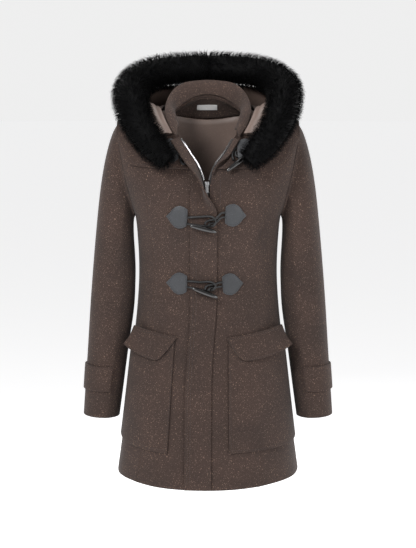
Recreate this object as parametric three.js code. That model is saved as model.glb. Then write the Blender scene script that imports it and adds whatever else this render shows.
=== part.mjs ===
// A women's hooded duffle coat in mottled brown wool, filled out as worn, with its zip open at the neck.
// Millimetres. +X is the viewer's right (the wearer's left), -Y is the front and +Z is up.
// The origin is the middle of the neck, level with the collar seam at the back.
import * as THREE from 'three';

// Driving sizes.
const WOOL = 3; // thickness of the coat's wool cloth
const SEAM = 0.3; // space between two pieces sewn edge to edge
const LAY = 0.9; // space under a piece that lies on another
const COLLAR_THICK = 5; // two layers of wool and a canvas between
const HOOD_WOOL = 2.5;
const LINING = 1;
const FACING = 1.5;
const LEATHER = 2;
const CORD = 4.4; // diameter of the braided cord
const TOGGLE_LENGTH = 54;
const TOGGLE_RADIUS = 5.5;
const ZIP_TAPE = 0.8;
const ZIP_TEETH = 2.4;
const PLACKET_ROLL = 2; // radius of the placket's fold
const UNDERARM = 9; // rows of the body table between which the armhole lies
const SHOULDER_TIP = 13;
const NECK = 15;
const ARMHOLE_ANGLE = 25; // half width of the armhole, in degrees round the body

const RAD = Math.PI / 180;
const UP = new THREE.Vector3(0, 0, 1);

// The body of the coat: one row for each ring round it, from the hem to the neck seam.
// halfWidth, front and back run from the middle to the cloth; the last three are the ring's height
// in front, at the side and behind; square is 2 for an ellipse and more for a squarer ring.
const BODY_COLUMNS = ['halfWidth', 'front', 'back', 'frontZ', 'sideZ', 'backZ', 'square'];
const BODY = [
  [191, 150, 150, -798, -788, -794, 2.2], // hem
  [180, 144, 146, -716, -708, -712, 2.2],
  [170, 135, 141, -628, -622, -626, 2.25],
  [161, 125, 133, -548, -543, -546, 2.3],
  [152, 115, 119, -478, -474, -476, 2.3],
  [147, 110, 101, -424, -422, -424, 2.3],
  [144, 106, 91, -374, -371, -376, 2.3], // waist
  [145, 113, 90, -324, -319, -324, 2.3],
  [148, 124, 96, -284, -278, -284, 2.3], // bust
  [151, 129, 102, -253, -250, -250, 2.3], // underarm
  [171, 128, 106, -224, -201, -196, 2.3],
  [187, 124, 106, -201, -151, -140, 2.3],
  [192, 120, 103, -184, -101, -88, 2.25],
  [187, 116, 96, -170, -58, -45, 2.2], // tip of the shoulder
  [134, 110, 82, -156, -45, -19, 2.1],
  [72, 103, 64, -140, -33, 0, 2], // neck seam
];

// The front edges: height, and x of the zip's middle, of the placket's sewn edge and of its free edge.
const FRONT_EDGE_COLUMNS = ['z', 'zip', 'sewn', 'free'];
const FRONT_EDGE = [
  [-800, -14, -48, 6],
  [-610, -14, -46, 6],
  [-508, -10, -40, 10],
  [-444, -4, -35, 16],
  [-262, -2, -35, 18],
  [-195, -2, -35, 18],
];

// The open neck, where the front edges part: height and x of the right and the left front's edge.
const NECK_OPENING_COLUMNS = ['z', 'right', 'left'];
const NECK_OPENING = [
  [-195, -7, 3],
  [-182, -8, 4],
  [-166, -12, 6],
  [-143, -20, 14],
  [-125, -31, 24],
  [-106, -44, 37],
  [-80, -62, 58],
];

// Princess seams: height and x on the right and the left front.
const PRINCESS_COLUMNS = ['z', 'right', 'left'];
const PRINCESS = [
  [-800, -147, 106],
  [-716, -134, 103],
  [-600, -120, 98],
  [-472, -112, 96],
  [-400, -108, 97],
  [-342, -107, 99],
  [-256, -119, 111],
  [-200, -123, 119],
  [-150, -124, 122],
];

// How the placket turns back at the neck: height and the angle its flap has turned, in degrees.
const PLACKET_TURN_COLUMNS = ['z', 'turn'];
const PLACKET_TURN = [
  [-240, 0],
  [-228, 22],
  [-215, 55],
  [-201, 80],
  [-173, 108],
  [-157, 126],
  [-137, 148],
  [-115, 160],
  [-80, 164],
];

// The collar's top edge, from the front corner round to the back, on the wearer's left:
// along is the part of the collar's length from the front edge to the middle of the back.
const COLLAR_TOP_COLUMNS = ['along', 'x', 'y', 'z'];
const COLLAR_TOP = [
  [0, 61, -86, -83],
  [0.04, 73, -72, -73],
  [0.1, 82, -48, -50.5],
  [0.2, 87, -18, -31],
  [0.34, 86, 12, -13],
  [0.53, 75, 44, 9],
  [0.76, 48, 72, 25],
  [1, 0, 84, 29],
];

// The sleeve's rings below the armhole: its outer and inner edges seen from the front, half its depth
// and how far its middle lies behind the coat's.
const SLEEVE_COLUMNS = ['outerX', 'outerZ', 'innerX', 'innerZ', 'depth', 'middleY'];
const SLEEVE = [
  [199, -76, 154, -256, 53, 0],
  [213, -122, 155, -273, 56, 0],
  [225, -188, 154, -304, 58, 1],
  [234, -270, 151, -346, 58, 2],
  [242, -354, 149, -394, 57, 3],
  [249, -438, 155, -456, 55, 4],
  [255, -518, 167, -522, 52, 4],
  [260, -598, 177, -600, 50, 2],
  [265, -668, 187, -672, 47, -1], // cuff
];
// Creases in the sleeve: ring, angle round the sleeve from its outer edge over the front, depth in
// millimetres, and half length and half width of the crease in degrees and rings.
// Columns: ring, angle, depth, halfLength, halfWidth.
const SLEEVE_CREASES = [
  [4.5, 140, 3.0, 46, 0.34],
  [5.25, 150, 3.6, 54, 0.3],
  [6.0, 128, 2.6, 44, 0.34],
  [3.4, 96, 2.2, 40, 0.5],
  [5.0, 214, 2.8, 46, 0.4],
  [7.2, 40, 1.8, 50, 0.4],
];
const FRONT_SLEEVE_SEAM = 112.5;
const BACK_SLEEVE_SEAM = 247.5;
const SLEEVE_SIDES = 16;

// Soft flutes in the skirt: angle round the body, height of their top, outward reach at the hem and
// half width in degrees.
// Columns: angle, topZ, reach, halfWidth.
const FLUTES = [
  [-74, -560, 4, 13],
  [-30, -600, 2.5, 11],
  [27, -590, -2.5, 12],
  [72, -540, 4, 13],
  [118, -520, -4, 14],
  [146, -460, 4.5, 13],
  [178, -480, -4, 12],
  [-150, -470, 4.5, 13],
  [-121, -530, -3.5, 13],
];

// The hood lying open on the back. Each row is a section from the neck seam, down behind the coat,
// round the bottom of the pouch and up to the fur. neck is the angle round the neck, fur the part of
// the fur's length; each down and off pair is a point so far below the neck seam and off the coat.
const HOOD_COLUMNS = [
  'along', 'neck', 'fur', 'downA', 'offA', 'downB', 'offB', 'downC', 'offC', 'downD', 'offD',
];
const HOOD = [
  [0, 50, 0.05, 18, 5.4, 21, 8.4, 25, 10, 28, 13],
  [0.18, 66, 0.2, 22, 6.6, 30, 11.5, 37, 17, 44, 13],
  [0.36, 90, 0.4, 24, 6.6, 34, 14.5, 41, 27, 50, 17],
  [0.55, 116, 0.6, 28, 8, 66, 10, 100, 24, 84, 36],
  [0.75, 142, 0.78, 46, 8, 112, 9, 146, 32, 106, 66],
  [1, 180, 1, 60, 5, 134, 7, 176, 32, 118, 76],
];

// The middle line of the fur, from its front end to the middle of the back, on the wearer's left.
const FUR_COLUMNS = ['along', 'x', 'y', 'z', 'radius'];
const FUR = [
  [0, 80, -130, -128, 25],
  [0.1, 104, -126, -104, 27.5],
  [0.22, 131, -106, -72, 30],
  [0.34, 152, -66, -32, 31.5],
  [0.46, 160, -10, 4, 32.5],
  [0.58, 154, 40, 22, 33],
  [0.7, 132, 82, 40, 32],
  [0.84, 88, 110, 52, 31],
  [0.93, 40, 120, 56, 30],
  [1, 0, 122, 57, 30],
];

// Pocket and flap outlines as angles round the body and heights; the right ones are negative angles.
// Columns: innerX, innerTopZ, innerFootX, innerFootZ, outerTopZ, outerFootZ.
const POCKETS = {
  right: [-68, -498, -83, -724, -486, -709],
  left: [42, -498, 43, -722, -484, -714],
};
const POCKET_OUTER_ANGLE = 86;
const POCKET_BULGE = 5;
const POCKET_LIFT = 1.2;
// Columns: innerTopX, innerTopZ, outerTopX, outerTopZ, innerFootX, innerFootZ, outerFootX, outerFootZ.
const FLAPS = {
  right: [-62, -487, -153, -473, -96, -541, -170, -520],
  left: [38, -488, 157, -471, 65, -540, 176, -520],
};

// The yoke's lower edge, from the armhole to the front edge: x and height.
// Columns: x, z.
const YOKE_EDGE = [
  [183, -66],
  [177, -100],
  [169, -124],
  [158, -137],
  [140, -141],
  [100, -144],
  [62, -146],
  [24, -149],
];

// A toggle's patch: distance from its middle to its edge for each angle from its point.
const PATCH_COLUMNS = ['angle', 'reach'];
const PATCH = [
  [0, 24],
  [25, 21.5],
  [55, 22],
  [85, 23],
  [112, 23],
  [132, 23.5],
  [150, 19],
  [180, 17],
];
// Patches: x and height of the middle, the way the point faces, and the tilt in degrees.
const PATCHES = {
  patch_top_right: [-76, -112, -1, 0],
  patch_middle_right: [-58, -241, -1, 4],
  patch_lower_right: [-59, -378, -1, 2],
  patch_top_left: [76, -112, 1, 0],
  patch_middle_left: [51, -237, 1, -3],
  patch_lower_left: [46, -379, 1, 4],
};

// Looks, taken as plain colours.
const looks = {
  wool: { color: 0x4a3e38, roughness: 0.95, metalness: 0 },
  woolInside: { color: 0x50443e, roughness: 0.95, metalness: 0 },
  lining: { color: 0x4e443e, roughness: 0.5, metalness: 0 },
  fur: { color: 0x0e0e10, roughness: 0.9, metalness: 0 },
  leather: { color: 0x50535a, roughness: 0.55, metalness: 0 },
  cord: { color: 0x121214, roughness: 0.8, metalness: 0 },
  toggle: { color: 0x0b0b0d, roughness: 0.12, metalness: 0 },
  tape: { color: 0x16161a, roughness: 0.9, metalness: 0 },
  metal: { color: 0xc4c6ca, roughness: 0.25, metalness: 1 },
  label: { color: 0xf2f2ee, roughness: 0.7, metalness: 0 },
};

const coat = new THREE.Group();
coat.name = 'duffle_coat';

function addMesh(name, geometry, look) {
  const mesh = new THREE.Mesh(geometry, new THREE.MeshStandardMaterial(looks[look]));
  mesh.name = name;
  coat.add(mesh);
  return mesh;
}

// Small helpers for numbers, tables and vectors.
const vec = (x, y, z) => new THREE.Vector3(x, y, z);
const mix = (a, b, t) => a + (b - a) * t;
const clamp = (value, low, high) => Math.min(high, Math.max(low, value));

// A smooth curve through four evenly spaced values.
function curve4(p0, p1, p2, p3, t) {
  const a = 2 * p1;
  const b = p2 - p0;
  const c = 2 * p0 - 5 * p1 + 4 * p2 - p3;
  const d = 3 * p1 - p0 - 3 * p2 + p3;
  return 0.5 * (a + b * t + c * t * t + d * t * t * t);
}

// One column of a table whose rows are evenly spaced, at a row number that may lie between rows.
function atRow(table, column, rowNumber) {
  const last = table.length - 1;
  const i = clamp(Math.floor(rowNumber), 0, last - 1);
  const value = (k) => {
    if (k < 0) return 2 * table[0][column] - table[1][column];
    if (k > last) return 2 * table[last][column] - table[last - 1][column];
    return table[k][column];
  };
  return curve4(value(i - 1), value(i), value(i + 1), value(i + 2), rowNumber - i);
}

// The value in a named column where the first column holds key, smooth between the rows.
function lookUp(table, columns, name, key) {
  const column = columns.indexOf(name);
  const last = table.length - 1;
  const rising = table[last][0] > table[0][0];
  const k = rising ? clamp(key, table[0][0], table[last][0]) : clamp(key, table[last][0], table[0][0]);
  let i = 0;
  while (i < last - 1 && (rising ? table[i + 1][0] < k : table[i + 1][0] > k)) i += 1;
  const [a, b] = [table[i], table[i + 1]];
  const h = b[0] - a[0];
  const t = (k - a[0]) / h;
  const slope = (p, q) => (q[column] - p[column]) / (q[0] - p[0]);
  const here = slope(a, b);
  // Slopes that never overshoot the rows.
  const blend = (p, q) => (p * q > 0 ? (2 * p * q) / (p + q) : 0);
  const before = i > 0 ? blend(slope(table[i - 1], a), here) : here;
  const after = i < last - 1 ? blend(slope(b, table[i + 2]), here) : here;
  const t2 = t * t;
  const t3 = t2 * t;
  return (2 * t3 - 3 * t2 + 1) * a[column] + (t3 - 2 * t2 + t) * h * before
    + (-2 * t3 + 3 * t2) * b[column] + (t3 - t2) * h * after;
}

// Solves f(value) = 0 between low and high by halving.
function solve(f, low, high) {
  let [a, b] = [low, high];
  const signLow = Math.sign(f(a));
  for (let k = 0; k < 40; k += 1) {
    const middle = (a + b) / 2;
    if (Math.sign(f(middle)) === signLow) a = middle;
    else b = middle;
  }
  return (a + b) / 2;
}

// The coat's outer surface.
function flute(angle, z) {
  let reach = 0;
  for (const [middle, topZ, hemReach, halfWidth] of FLUTES) {
    let apart = Math.abs(angle - middle);
    if (apart > 180) apart = 360 - apart;
    const down = clamp((topZ - z) / (topZ + 800), 0, 1);
    reach += hemReach * down * down * (3 - 2 * down) * Math.exp(-((apart / halfWidth) ** 2));
  }
  return reach;
}

function bodyPoint(angle, level) {
  const at = (name) => atRow(BODY, BODY_COLUMNS.indexOf(name), level);
  const c = Math.cos(angle * RAD);
  const s = Math.sin(angle * RAD);
  const power = 2 / at('square');
  const round = (v) => Math.sign(v) * Math.abs(v) ** power;
  const sideZ = at('sideZ');
  const z = sideZ + (at(c > 0 ? 'frontZ' : 'backZ') - sideZ) * c * c;
  const reach = flute(angle, z);
  const x = (at('halfWidth') + reach) * round(s);
  const y = -(at(c > 0 ? 'front' : 'back') + reach) * round(c);
  return vec(x, y, z);
}

function bodyNormal(angle, level) {
  const top = Math.min(level + 0.02, NECK);
  const around = bodyPoint(angle + 0.6, level).sub(bodyPoint(angle - 0.6, level));
  const upward = bodyPoint(angle, top).sub(bodyPoint(angle, top - 0.04));
  return around.cross(upward).normalize();
}

const bodyOff = (angle, level, off) =>
  bodyPoint(angle, level).addScaledVector(bodyNormal(angle, level), off);

// The body row at a height, and the angle round the front for an x at a height.
function levelAt(angle, z) {
  if (z <= bodyPoint(angle, 0).z) return 0;
  if (z >= bodyPoint(angle, NECK).z) return NECK;
  return solve((level) => bodyPoint(angle, level).z - z, 0, NECK);
}
function angleAt(x, z) {
  const side = Math.sign(x) || 1;
  return solve((angle) => Math.abs(x) - Math.abs(bodyPoint(angle, levelAt(angle, z)).x), 0, 89.5 * side);
}
const frontPoint = (x, z, off) => {
  const angle = angleAt(x, z);
  return bodyOff(angle, levelAt(angle, z), off);
};

// The angle at which the sheet of the body has a given x on one level.
const angleOnLevel = (level, target) =>
  solve((angle) => {
    const p = bodyPoint(angle, level);
    return target(p.z) - p.x;
  }, target(bodyPoint(0, level).z) < 0 ? -89 : 89, 0);

// The body row that lies so far below the neck seam, measured on the cloth.
function levelBelowNeck(angle, distance) {
  let travelled = 0;
  let level = NECK;
  let from = bodyPoint(angle, level);
  while (travelled < distance && level > 1) {
    level -= 0.02;
    const to = bodyPoint(angle, level);
    travelled += from.distanceTo(to);
    from = to;
  }
  return level;
}

// A closed wall from a grid of outer points and a grid of inner points; loop joins last column to first.
function wall(outer, inner, loop = false) {
  const rows = outer.length;
  const columns = outer[0].length;
  const points = [];
  for (const grid of [outer, inner]) {
    for (const row of grid) {
      for (const p of row) points.push(p.x, p.y, p.z);
    }
  }
  const out = (i, j) => i * columns + (j % columns);
  const inn = (i, j) => rows * columns + i * columns + (j % columns);
  const faces = [];
  const quad = (a, b, c, d) => faces.push(a, b, c, a, c, d);
  const spans = loop ? columns : columns - 1;
  for (let i = 0; i < rows - 1; i += 1) {
    for (let j = 0; j < spans; j += 1) {
      quad(out(i, j), out(i, j + 1), out(i + 1, j + 1), out(i + 1, j));
      quad(inn(i, j), inn(i + 1, j), inn(i + 1, j + 1), inn(i, j + 1));
    }
  }
  for (let j = 0; j < spans; j += 1) {
    quad(out(0, j), inn(0, j), inn(0, j + 1), out(0, j + 1));
    quad(inn(rows - 1, j + 1), inn(rows - 1, j), out(rows - 1, j), out(rows - 1, j + 1));
  }
  if (!loop) {
    for (let i = 0; i < rows - 1; i += 1) {
      quad(out(i + 1, 0), inn(i + 1, 0), inn(i, 0), out(i, 0));
      quad(inn(i, columns - 1), inn(i + 1, columns - 1), out(i + 1, columns - 1), out(i, columns - 1));
    }
  }
  return closedGeometry(points, faces);
}

// A geometry from points and triangles, turned the right way out.
function closedGeometry(points, faces) {
  const at = (k) => vec(points[3 * k], points[3 * k + 1], points[3 * k + 2]);
  let volume = 0;
  for (let k = 0; k < faces.length; k += 3) {
    volume += at(faces[k]).dot(at(faces[k + 1]).cross(at(faces[k + 2])));
  }
  if (volume < 0) {
    for (let k = 0; k < faces.length; k += 3) [faces[k], faces[k + 1]] = [faces[k + 1], faces[k]];
  }
  const geometry = new THREE.BufferGeometry();
  geometry.setAttribute('position', new THREE.Float32BufferAttribute(points, 3));
  geometry.setIndex(faces);
  return geometry;
}

// Unit normals of a grid of points, all turned to the side that a guide direction, at one point, lies on.
function oneSided(grid, row, column, guide) {
  const normals = gridNormals(grid, false, () => vec(0, 0, 0));
  const sign = normals[row][column].dot(guide) < 0 ? -1 : 1;
  return normals.map((line) => line.map((normal) => normal.multiplyScalar(sign)));
}

// Unit normals of a grid of points, each with the sign that agrees with its guide direction.
function gridNormals(grid, loop, guide) {
  const rows = grid.length;
  const columns = grid[0].length;
  return grid.map((row, i) => row.map((p, j) => {
    const left = loop ? row[(j + columns - 1) % columns] : row[Math.max(j - 1, 0)];
    const right = loop ? row[(j + 1) % columns] : row[Math.min(j + 1, columns - 1)];
    const below = grid[Math.max(i - 1, 0)][j];
    const above = grid[Math.min(i + 1, rows - 1)][j];
    const normal = right.clone().sub(left).cross(above.clone().sub(below)).normalize();
    return normal.dot(guide(i, j, p)) < 0 ? normal.negate() : normal;
  }));
}

const shifted = (grid, normals, off) =>
  grid.map((row, i) => row.map((p, j) => p.clone().addScaledVector(normals[i][j], off)));

// Normals eased towards their neighbours until a layer so far off the grid no longer folds over itself.
const LEAST_SPAN = 0.35; // the part of an edge's length that its copy in the moved layer must keep
const EASE = 0.3;
const EASE_PASSES = 60;
function eased(grid, normals, off) {
  const turned = normals.map((row) => row.map((normal) => normal.clone()));
  const ease = (i, j, k, l) => {
    if (k >= grid.length || l >= grid[0].length) return false;
    const edge = grid[k][l].clone().sub(grid[i][j]);
    const spread = turned[k][l].clone().sub(turned[i][j]).multiplyScalar(off);
    if (edge.dot(spread) > (LEAST_SPAN - 1) * edge.lengthSq()) return false;
    const middle = turned[i][j].clone().add(turned[k][l]).multiplyScalar(0.5);
    turned[i][j].lerp(middle, EASE).normalize();
    turned[k][l].lerp(middle, EASE).normalize();
    return true;
  };
  let folded = true;
  for (let pass = 0; pass < EASE_PASSES && folded; pass += 1) {
    folded = false;
    for (let i = 0; i < grid.length; i += 1) {
      for (let j = 0; j < grid[0].length; j += 1) {
        const across = ease(i, j, i, j + 1);
        const up = ease(i, j, i + 1, j);
        folded = folded || across || up;
      }
    }
  }
  return turned;
}

// The armhole. turn runs from the shoulder tip over the front and the underarm to the back.
function armholeSpot(turn) {
  const level = mix(UNDERARM, SHOULDER_TIP, (1 + Math.cos(turn * RAD)) / 2);
  return { level, angle: 90 - ARMHOLE_ANGLE * Math.sin(turn * RAD) };
}
function armholePoint(side, turn) {
  const { level, angle } = armholeSpot(turn);
  return bodyPoint(angle * side, level);
}
// The way the seam's thickness runs, towards the middle of the armhole.
function armholeInward(side, turn) {
  const middle = armholePoint(side, 0).add(armholePoint(side, 180)).multiplyScalar(0.5);
  middle.x += 6 * side;
  return middle.sub(armholePoint(side, turn)).normalize();
}
// Half the armhole's width, in degrees, on a level of the body.
function armholeAngle(level) {
  const u = (level - UNDERARM) / (SHOULDER_TIP - UNDERARM);
  return u <= 0 || u >= 1 ? 0 : ARMHOLE_ANGLE * Math.sqrt(1 - (2 * u - 1) ** 2);
}

// Levels of the rows of a body panel: even below the underarm, closer round the armhole.
function panelLevels() {
  const levels = [];
  const lowRows = 14;
  for (let k = 0; k < lowRows; k += 1) levels.push((UNDERARM * k) / lowRows);
  const armholeRows = SLEEVE_SIDES / 2;
  for (let k = 0; k <= armholeRows; k += 1) {
    levels.push(armholeSpot(180 - (180 * k) / armholeRows).level);
  }
  levels.push(13.5, 14.1, 14.6, NECK);
  return levels;
}
const LEVELS = panelLevels();
const FRONT_COLUMNS = 5;
const SIDE_COLUMNS = 3;
const BACK_COLUMNS = 6;

// A panel of the body between two edges given as angles on each level. armEdge names the edge, start
// or end, that follows the armhole; there the wall's inner points share the seam with the sleeve.
// endLevel is the level at which a row reaches its end, where rows don't stay on one level.
function bodyPanel(levels, start, end, columns, armEdge, endLevel = (level) => level) {
  const outer = [];
  const inner = [];
  levels.forEach((level) => {
    const [a, b] = [start(level), end(level)];
    const degree = bodyPoint(a + 0.5, level).distanceTo(bodyPoint(a - 0.5, level));
    const gap = ((SEAM / 2) / degree) * Math.sign(b - a);
    const atArmhole = level >= UNDERARM - 1e-6 && level <= SHOULDER_TIP + 1e-6;
    const gapStart = atArmhole && armEdge === 'start' ? 0 : gap;
    const gapEnd = atArmhole && armEdge === 'end' ? 0 : gap;
    const outRow = [];
    const inRow = [];
    for (let j = 0; j <= columns; j += 1) {
      const angle = mix(a + gapStart, b - gapEnd, j / columns);
      const here = mix(level, endLevel(level), j / columns);
      const p = bodyPoint(angle, here);
      const onArmhole = atArmhole && j === (armEdge === 'start' ? 0 : columns);
      const q = onArmhole
        ? p.clone().addScaledVector(seamInward(angle, level), WOOL)
        : bodyOff(angle, here, -WOOL);
      outRow.push(p);
      inRow.push(q);
    }
    outer.push(outRow);
    inner.push(inRow);
  });
  return wall(outer, inner);
}

// The seam's inward direction for a point of the armhole given by its angle and level on the body.
function seamInward(angle, level) {
  const u = clamp((level - UNDERARM) / (SHOULDER_TIP - UNDERARM), 0, 1);
  const turn = Math.acos(2 * u - 1) / RAD;
  return armholeInward(Math.sign(angle), Math.abs(angle) <= 90 ? turn : 360 - turn);
}

// Edges of the front panels.
const zipX = (z) => lookUp(FRONT_EDGE, FRONT_EDGE_COLUMNS, 'zip', z);
const EDGE_FROM_ZIP = 5;
const OPENING_FOOT = -195;
function frontEdgeX(side, z) {
  if (z < OPENING_FOOT) return zipX(z) + EDGE_FROM_ZIP * side;
  return lookUp(NECK_OPENING, NECK_OPENING_COLUMNS, side < 0 ? 'right' : 'left', z);
}
const frontEdgeAngle = (side) => (level) => angleOnLevel(level, (z) => frontEdgeX(side, z));
// Above this level the rows of a front panel fan out along the edge of the open neck.
const OPEN_LEVEL = 14;
const OPEN_ROWS = 8;
function openEdge(side) {
  const onLevel = frontEdgeAngle(side);
  const lowZ = bodyPoint(onLevel(OPEN_LEVEL), OPEN_LEVEL).z;
  const highZ = bodyPoint(onLevel(NECK), NECK).z;
  const height = (level) => mix(lowZ, highZ, level - OPEN_LEVEL);
  const angle = (level) => {
    if (level < OPEN_LEVEL) return onLevel(level);
    return angleAt(frontEdgeX(side, height(level)), height(level));
  };
  const endLevel = (level) => (level < OPEN_LEVEL ? level : levelAt(angle(level), height(level)));
  return { angle, level: endLevel };
}
const PRINCESS_TOP = 13.75; // the level at which the princess seam meets the shoulder seam
function princessAngle(side) {
  const name = side < 0 ? 'right' : 'left';
  const bend = 12;
  const onFront = (level) => angleOnLevel(level, (z) => lookUp(PRINCESS, PRINCESS_COLUMNS, name, z));
  return (level) => {
    if (level <= bend) return onFront(level);
    return mix(onFront(bend), 80 * side, (level - bend) / (PRINCESS_TOP - bend));
  };
}

function buildBody() {
  for (const [side, name] of [[-1, 'right'], [1, 'left']]) {
    const sideEdge = (level) => side * (90 - armholeAngle(level));
    const backEdge = (level) => side * (90 + armholeAngle(level));
    const princess = princessAngle(side);
    const lowLevels = LEVELS.filter((level) => level < PRINCESS_TOP - 0.1);
    lowLevels.push(PRINCESS_TOP - 0.07);
    addMesh(`front_side_${name}`, bodyPanel(lowLevels, sideEdge, princess, SIDE_COLUMNS, 'start'), 'wool');
    // Above the princess seam's end the front panel reaches out to the shoulder seam.
    const outerEdge = (level) => (level < PRINCESS_TOP ? princess(level) : side * 90);
    const edge = openEdge(side);
    const frontLevels = [...lowLevels, PRINCESS_TOP - 0.001, PRINCESS_TOP + 0.02];
    for (let k = 0; k <= OPEN_ROWS; k += 1) frontLevels.push(mix(OPEN_LEVEL, NECK, k / OPEN_ROWS));
    const front = bodyPanel(frontLevels, outerEdge, edge.angle, FRONT_COLUMNS, '', edge.level);
    addMesh(`front_${name}`, front, 'wool');
    const back = bodyPanel(LEVELS, backEdge, () => side * 180, BACK_COLUMNS, 'start');
    addMesh(`back_${name}`, back, 'wool');
  }
}

// Sleeves.
function sleeveRing(side, ring, turn) {
  if (ring <= 0) return armholePoint(side, turn);
  const row = SLEEVE[Math.min(ring, SLEEVE.length) - 1];
  const at = (name) => row[SLEEVE_COLUMNS.indexOf(name)];
  const outward = (1 + Math.cos(turn * RAD)) / 2;
  return vec(
    side * mix(at('innerX'), at('outerX'), outward),
    at('middleY') - at('depth') * Math.sin(turn * RAD),
    mix(at('innerZ'), at('outerZ'), outward),
  );
}
function sleeveSmooth(side, ring, turn) {
  const last = SLEEVE.length;
  const i = clamp(Math.floor(ring), 0, last - 1);
  const points = [i - 1, i, i + 1, i + 2].map((k) => sleeveRing(side, clamp(k, 0, last), turn));
  if (i === 0) points[0] = points[1].clone().multiplyScalar(2).sub(points[2]);
  if (i === last - 1) points[3] = points[2].clone().multiplyScalar(2).sub(points[1]);
  const t = ring - i;
  const value = (axis) => curve4(...points.map((p) => p[axis]), t);
  return vec(value('x'), value('y'), value('z'));
}
function sleevePoint(side, ring, turn) {
  const p = sleeveSmooth(side, ring, turn);
  const middle = sleeveSmooth(side, ring, turn + 180).add(p).multiplyScalar(0.5);
  const inward = middle.sub(p).normalize();
  let depth = 0;
  for (const [atRing, angle, deep, halfLength, halfWidth] of SLEEVE_CREASES) {
    const a = (turn - angle) / halfLength;
    const b = (ring - atRing) / halfWidth;
    depth += deep * Math.exp(-a * a - b * b);
  }
  return p.addScaledVector(inward, depth);
}
function sleeveNormal(side, ring, turn) {
  const around = sleevePoint(side, ring, turn + 3).sub(sleevePoint(side, ring, turn - 3));
  const [low, high] = [Math.max(ring - 0.05, 0), Math.min(ring + 0.05, SLEEVE.length)];
  const along = sleevePoint(side, high, turn).sub(sleevePoint(side, low, turn));
  const normal = around.cross(along).normalize();
  const outward = sleeveSmooth(side, ring, turn).sub(sleeveSmooth(side, ring, turn + 180));
  return normal.dot(outward) < 0 ? normal.negate() : normal;
}
const SLEEVE_ROWS = [0, 0.4, 0.9, 1.5, 2.2, 3, 3.8, 4.5, 5, 5.5, 6.1, 7, 8, 9];

// A piece of the sleeve from one turn to another, parted from its neighbours by the seam.
function sleevePiece(side, from, to, columns) {
  const outer = [];
  const inner = [];
  for (const ring of SLEEVE_ROWS) {
    const outRow = [];
    const inRow = [];
    for (let j = 0; j <= columns; j += 1) {
      const turn = mix(from, to, j / columns);
      const p = sleevePoint(side, ring, turn);
      const tangent = sleevePoint(side, ring, turn + 2).sub(sleevePoint(side, ring, turn - 2)).normalize();
      const shift = j === 0 ? SEAM / 2 : j === columns ? -SEAM / 2 : 0;
      let inward = sleeveNormal(side, ring, turn).negate();
      if (ring === 0) {
        inward = armholeInward(side, turn);
        const across = tangent.clone().cross(inward).normalize();
        p.addScaledVector(across, (SEAM + 0.2) * Math.sign(across.x) * side);
      }
      p.addScaledVector(tangent, shift);
      outRow.push(p);
      inRow.push(p.clone().addScaledVector(inward, WOOL));
    }
    outer.push(outRow);
    inner.push(inRow);
  }
  return wall(outer, inner);
}

const TAB_LIFT = 0.9; // between the sleeve and the tab sewn on it
const TAB_RINGS = [7.53, 7.7, 7.95, 8.2];
function cuffTab(side) {
  const [from, to, columns] = [FRONT_SLEEVE_SEAM - 2, -92, 10];
  const layer = (off) => TAB_RINGS.map((ring) => {
    const row = [];
    for (let j = 0; j <= columns; j += 1) {
      const turn = mix(from, to, j / columns);
      row.push(sleevePoint(side, ring, turn).addScaledVector(sleeveNormal(side, ring, turn), off));
    }
    return row;
  });
  return wall(layer(TAB_LIFT + WOOL), layer(TAB_LIFT));
}

function buildSleeves() {
  const side = SLEEVE_SIDES;
  const step = 360 / side;
  const under = Math.round((BACK_SLEEVE_SEAM - FRONT_SLEEVE_SEAM) / step);
  for (const [sign, name] of [[-1, 'right'], [1, 'left']]) {
    const upper = sleevePiece(sign, BACK_SLEEVE_SEAM - 360, FRONT_SLEEVE_SEAM, side - under);
    addMesh(`sleeve_upper_${name}`, upper, 'wool');
    const lower = sleevePiece(sign, FRONT_SLEEVE_SEAM, BACK_SLEEVE_SEAM, under);
    addMesh(`sleeve_under_${name}`, lower, 'wool');
    addMesh(`cuff_tab_${name}`, cuffTab(sign), 'wool');
  }
}

// The collar, from the right front edge round the back to the left.
const neckEndAngle = (side) => frontEdgeAngle(side)(NECK);
function collarTop(side, along) {
  const at = (name) => lookUp(COLLAR_TOP, COLLAR_TOP_COLUMNS, name, along);
  return vec(side * at('x'), at('y'), at('z'));
}
const COLLAR_CLEAR = 1.1; // height of the collar's foot over the neck seam
const COLLAR_CROWN = 6; // how far its middle stands over a straight line from foot to edge
function collarPoint(side, along, up) {
  const angle = mix(neckEndAngle(side), 180 * side, along);
  const foot = bodyPoint(angle, NECK);
  const top = collarTop(side, along);
  const rise = top.clone().sub(foot);
  // The stand starts upright and leans out towards its edge.
  const upright = COLLAR_CROWN * Math.sin(Math.PI * up);
  const p = foot.add(rise.clone().multiplyScalar(up)).addScaledVector(UP, upright);
  p.addScaledVector(rise.normalize(), SEAM * (1 - up));
  return p.addScaledVector(UP, COLLAR_CLEAR * (1 - up));
}
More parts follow.
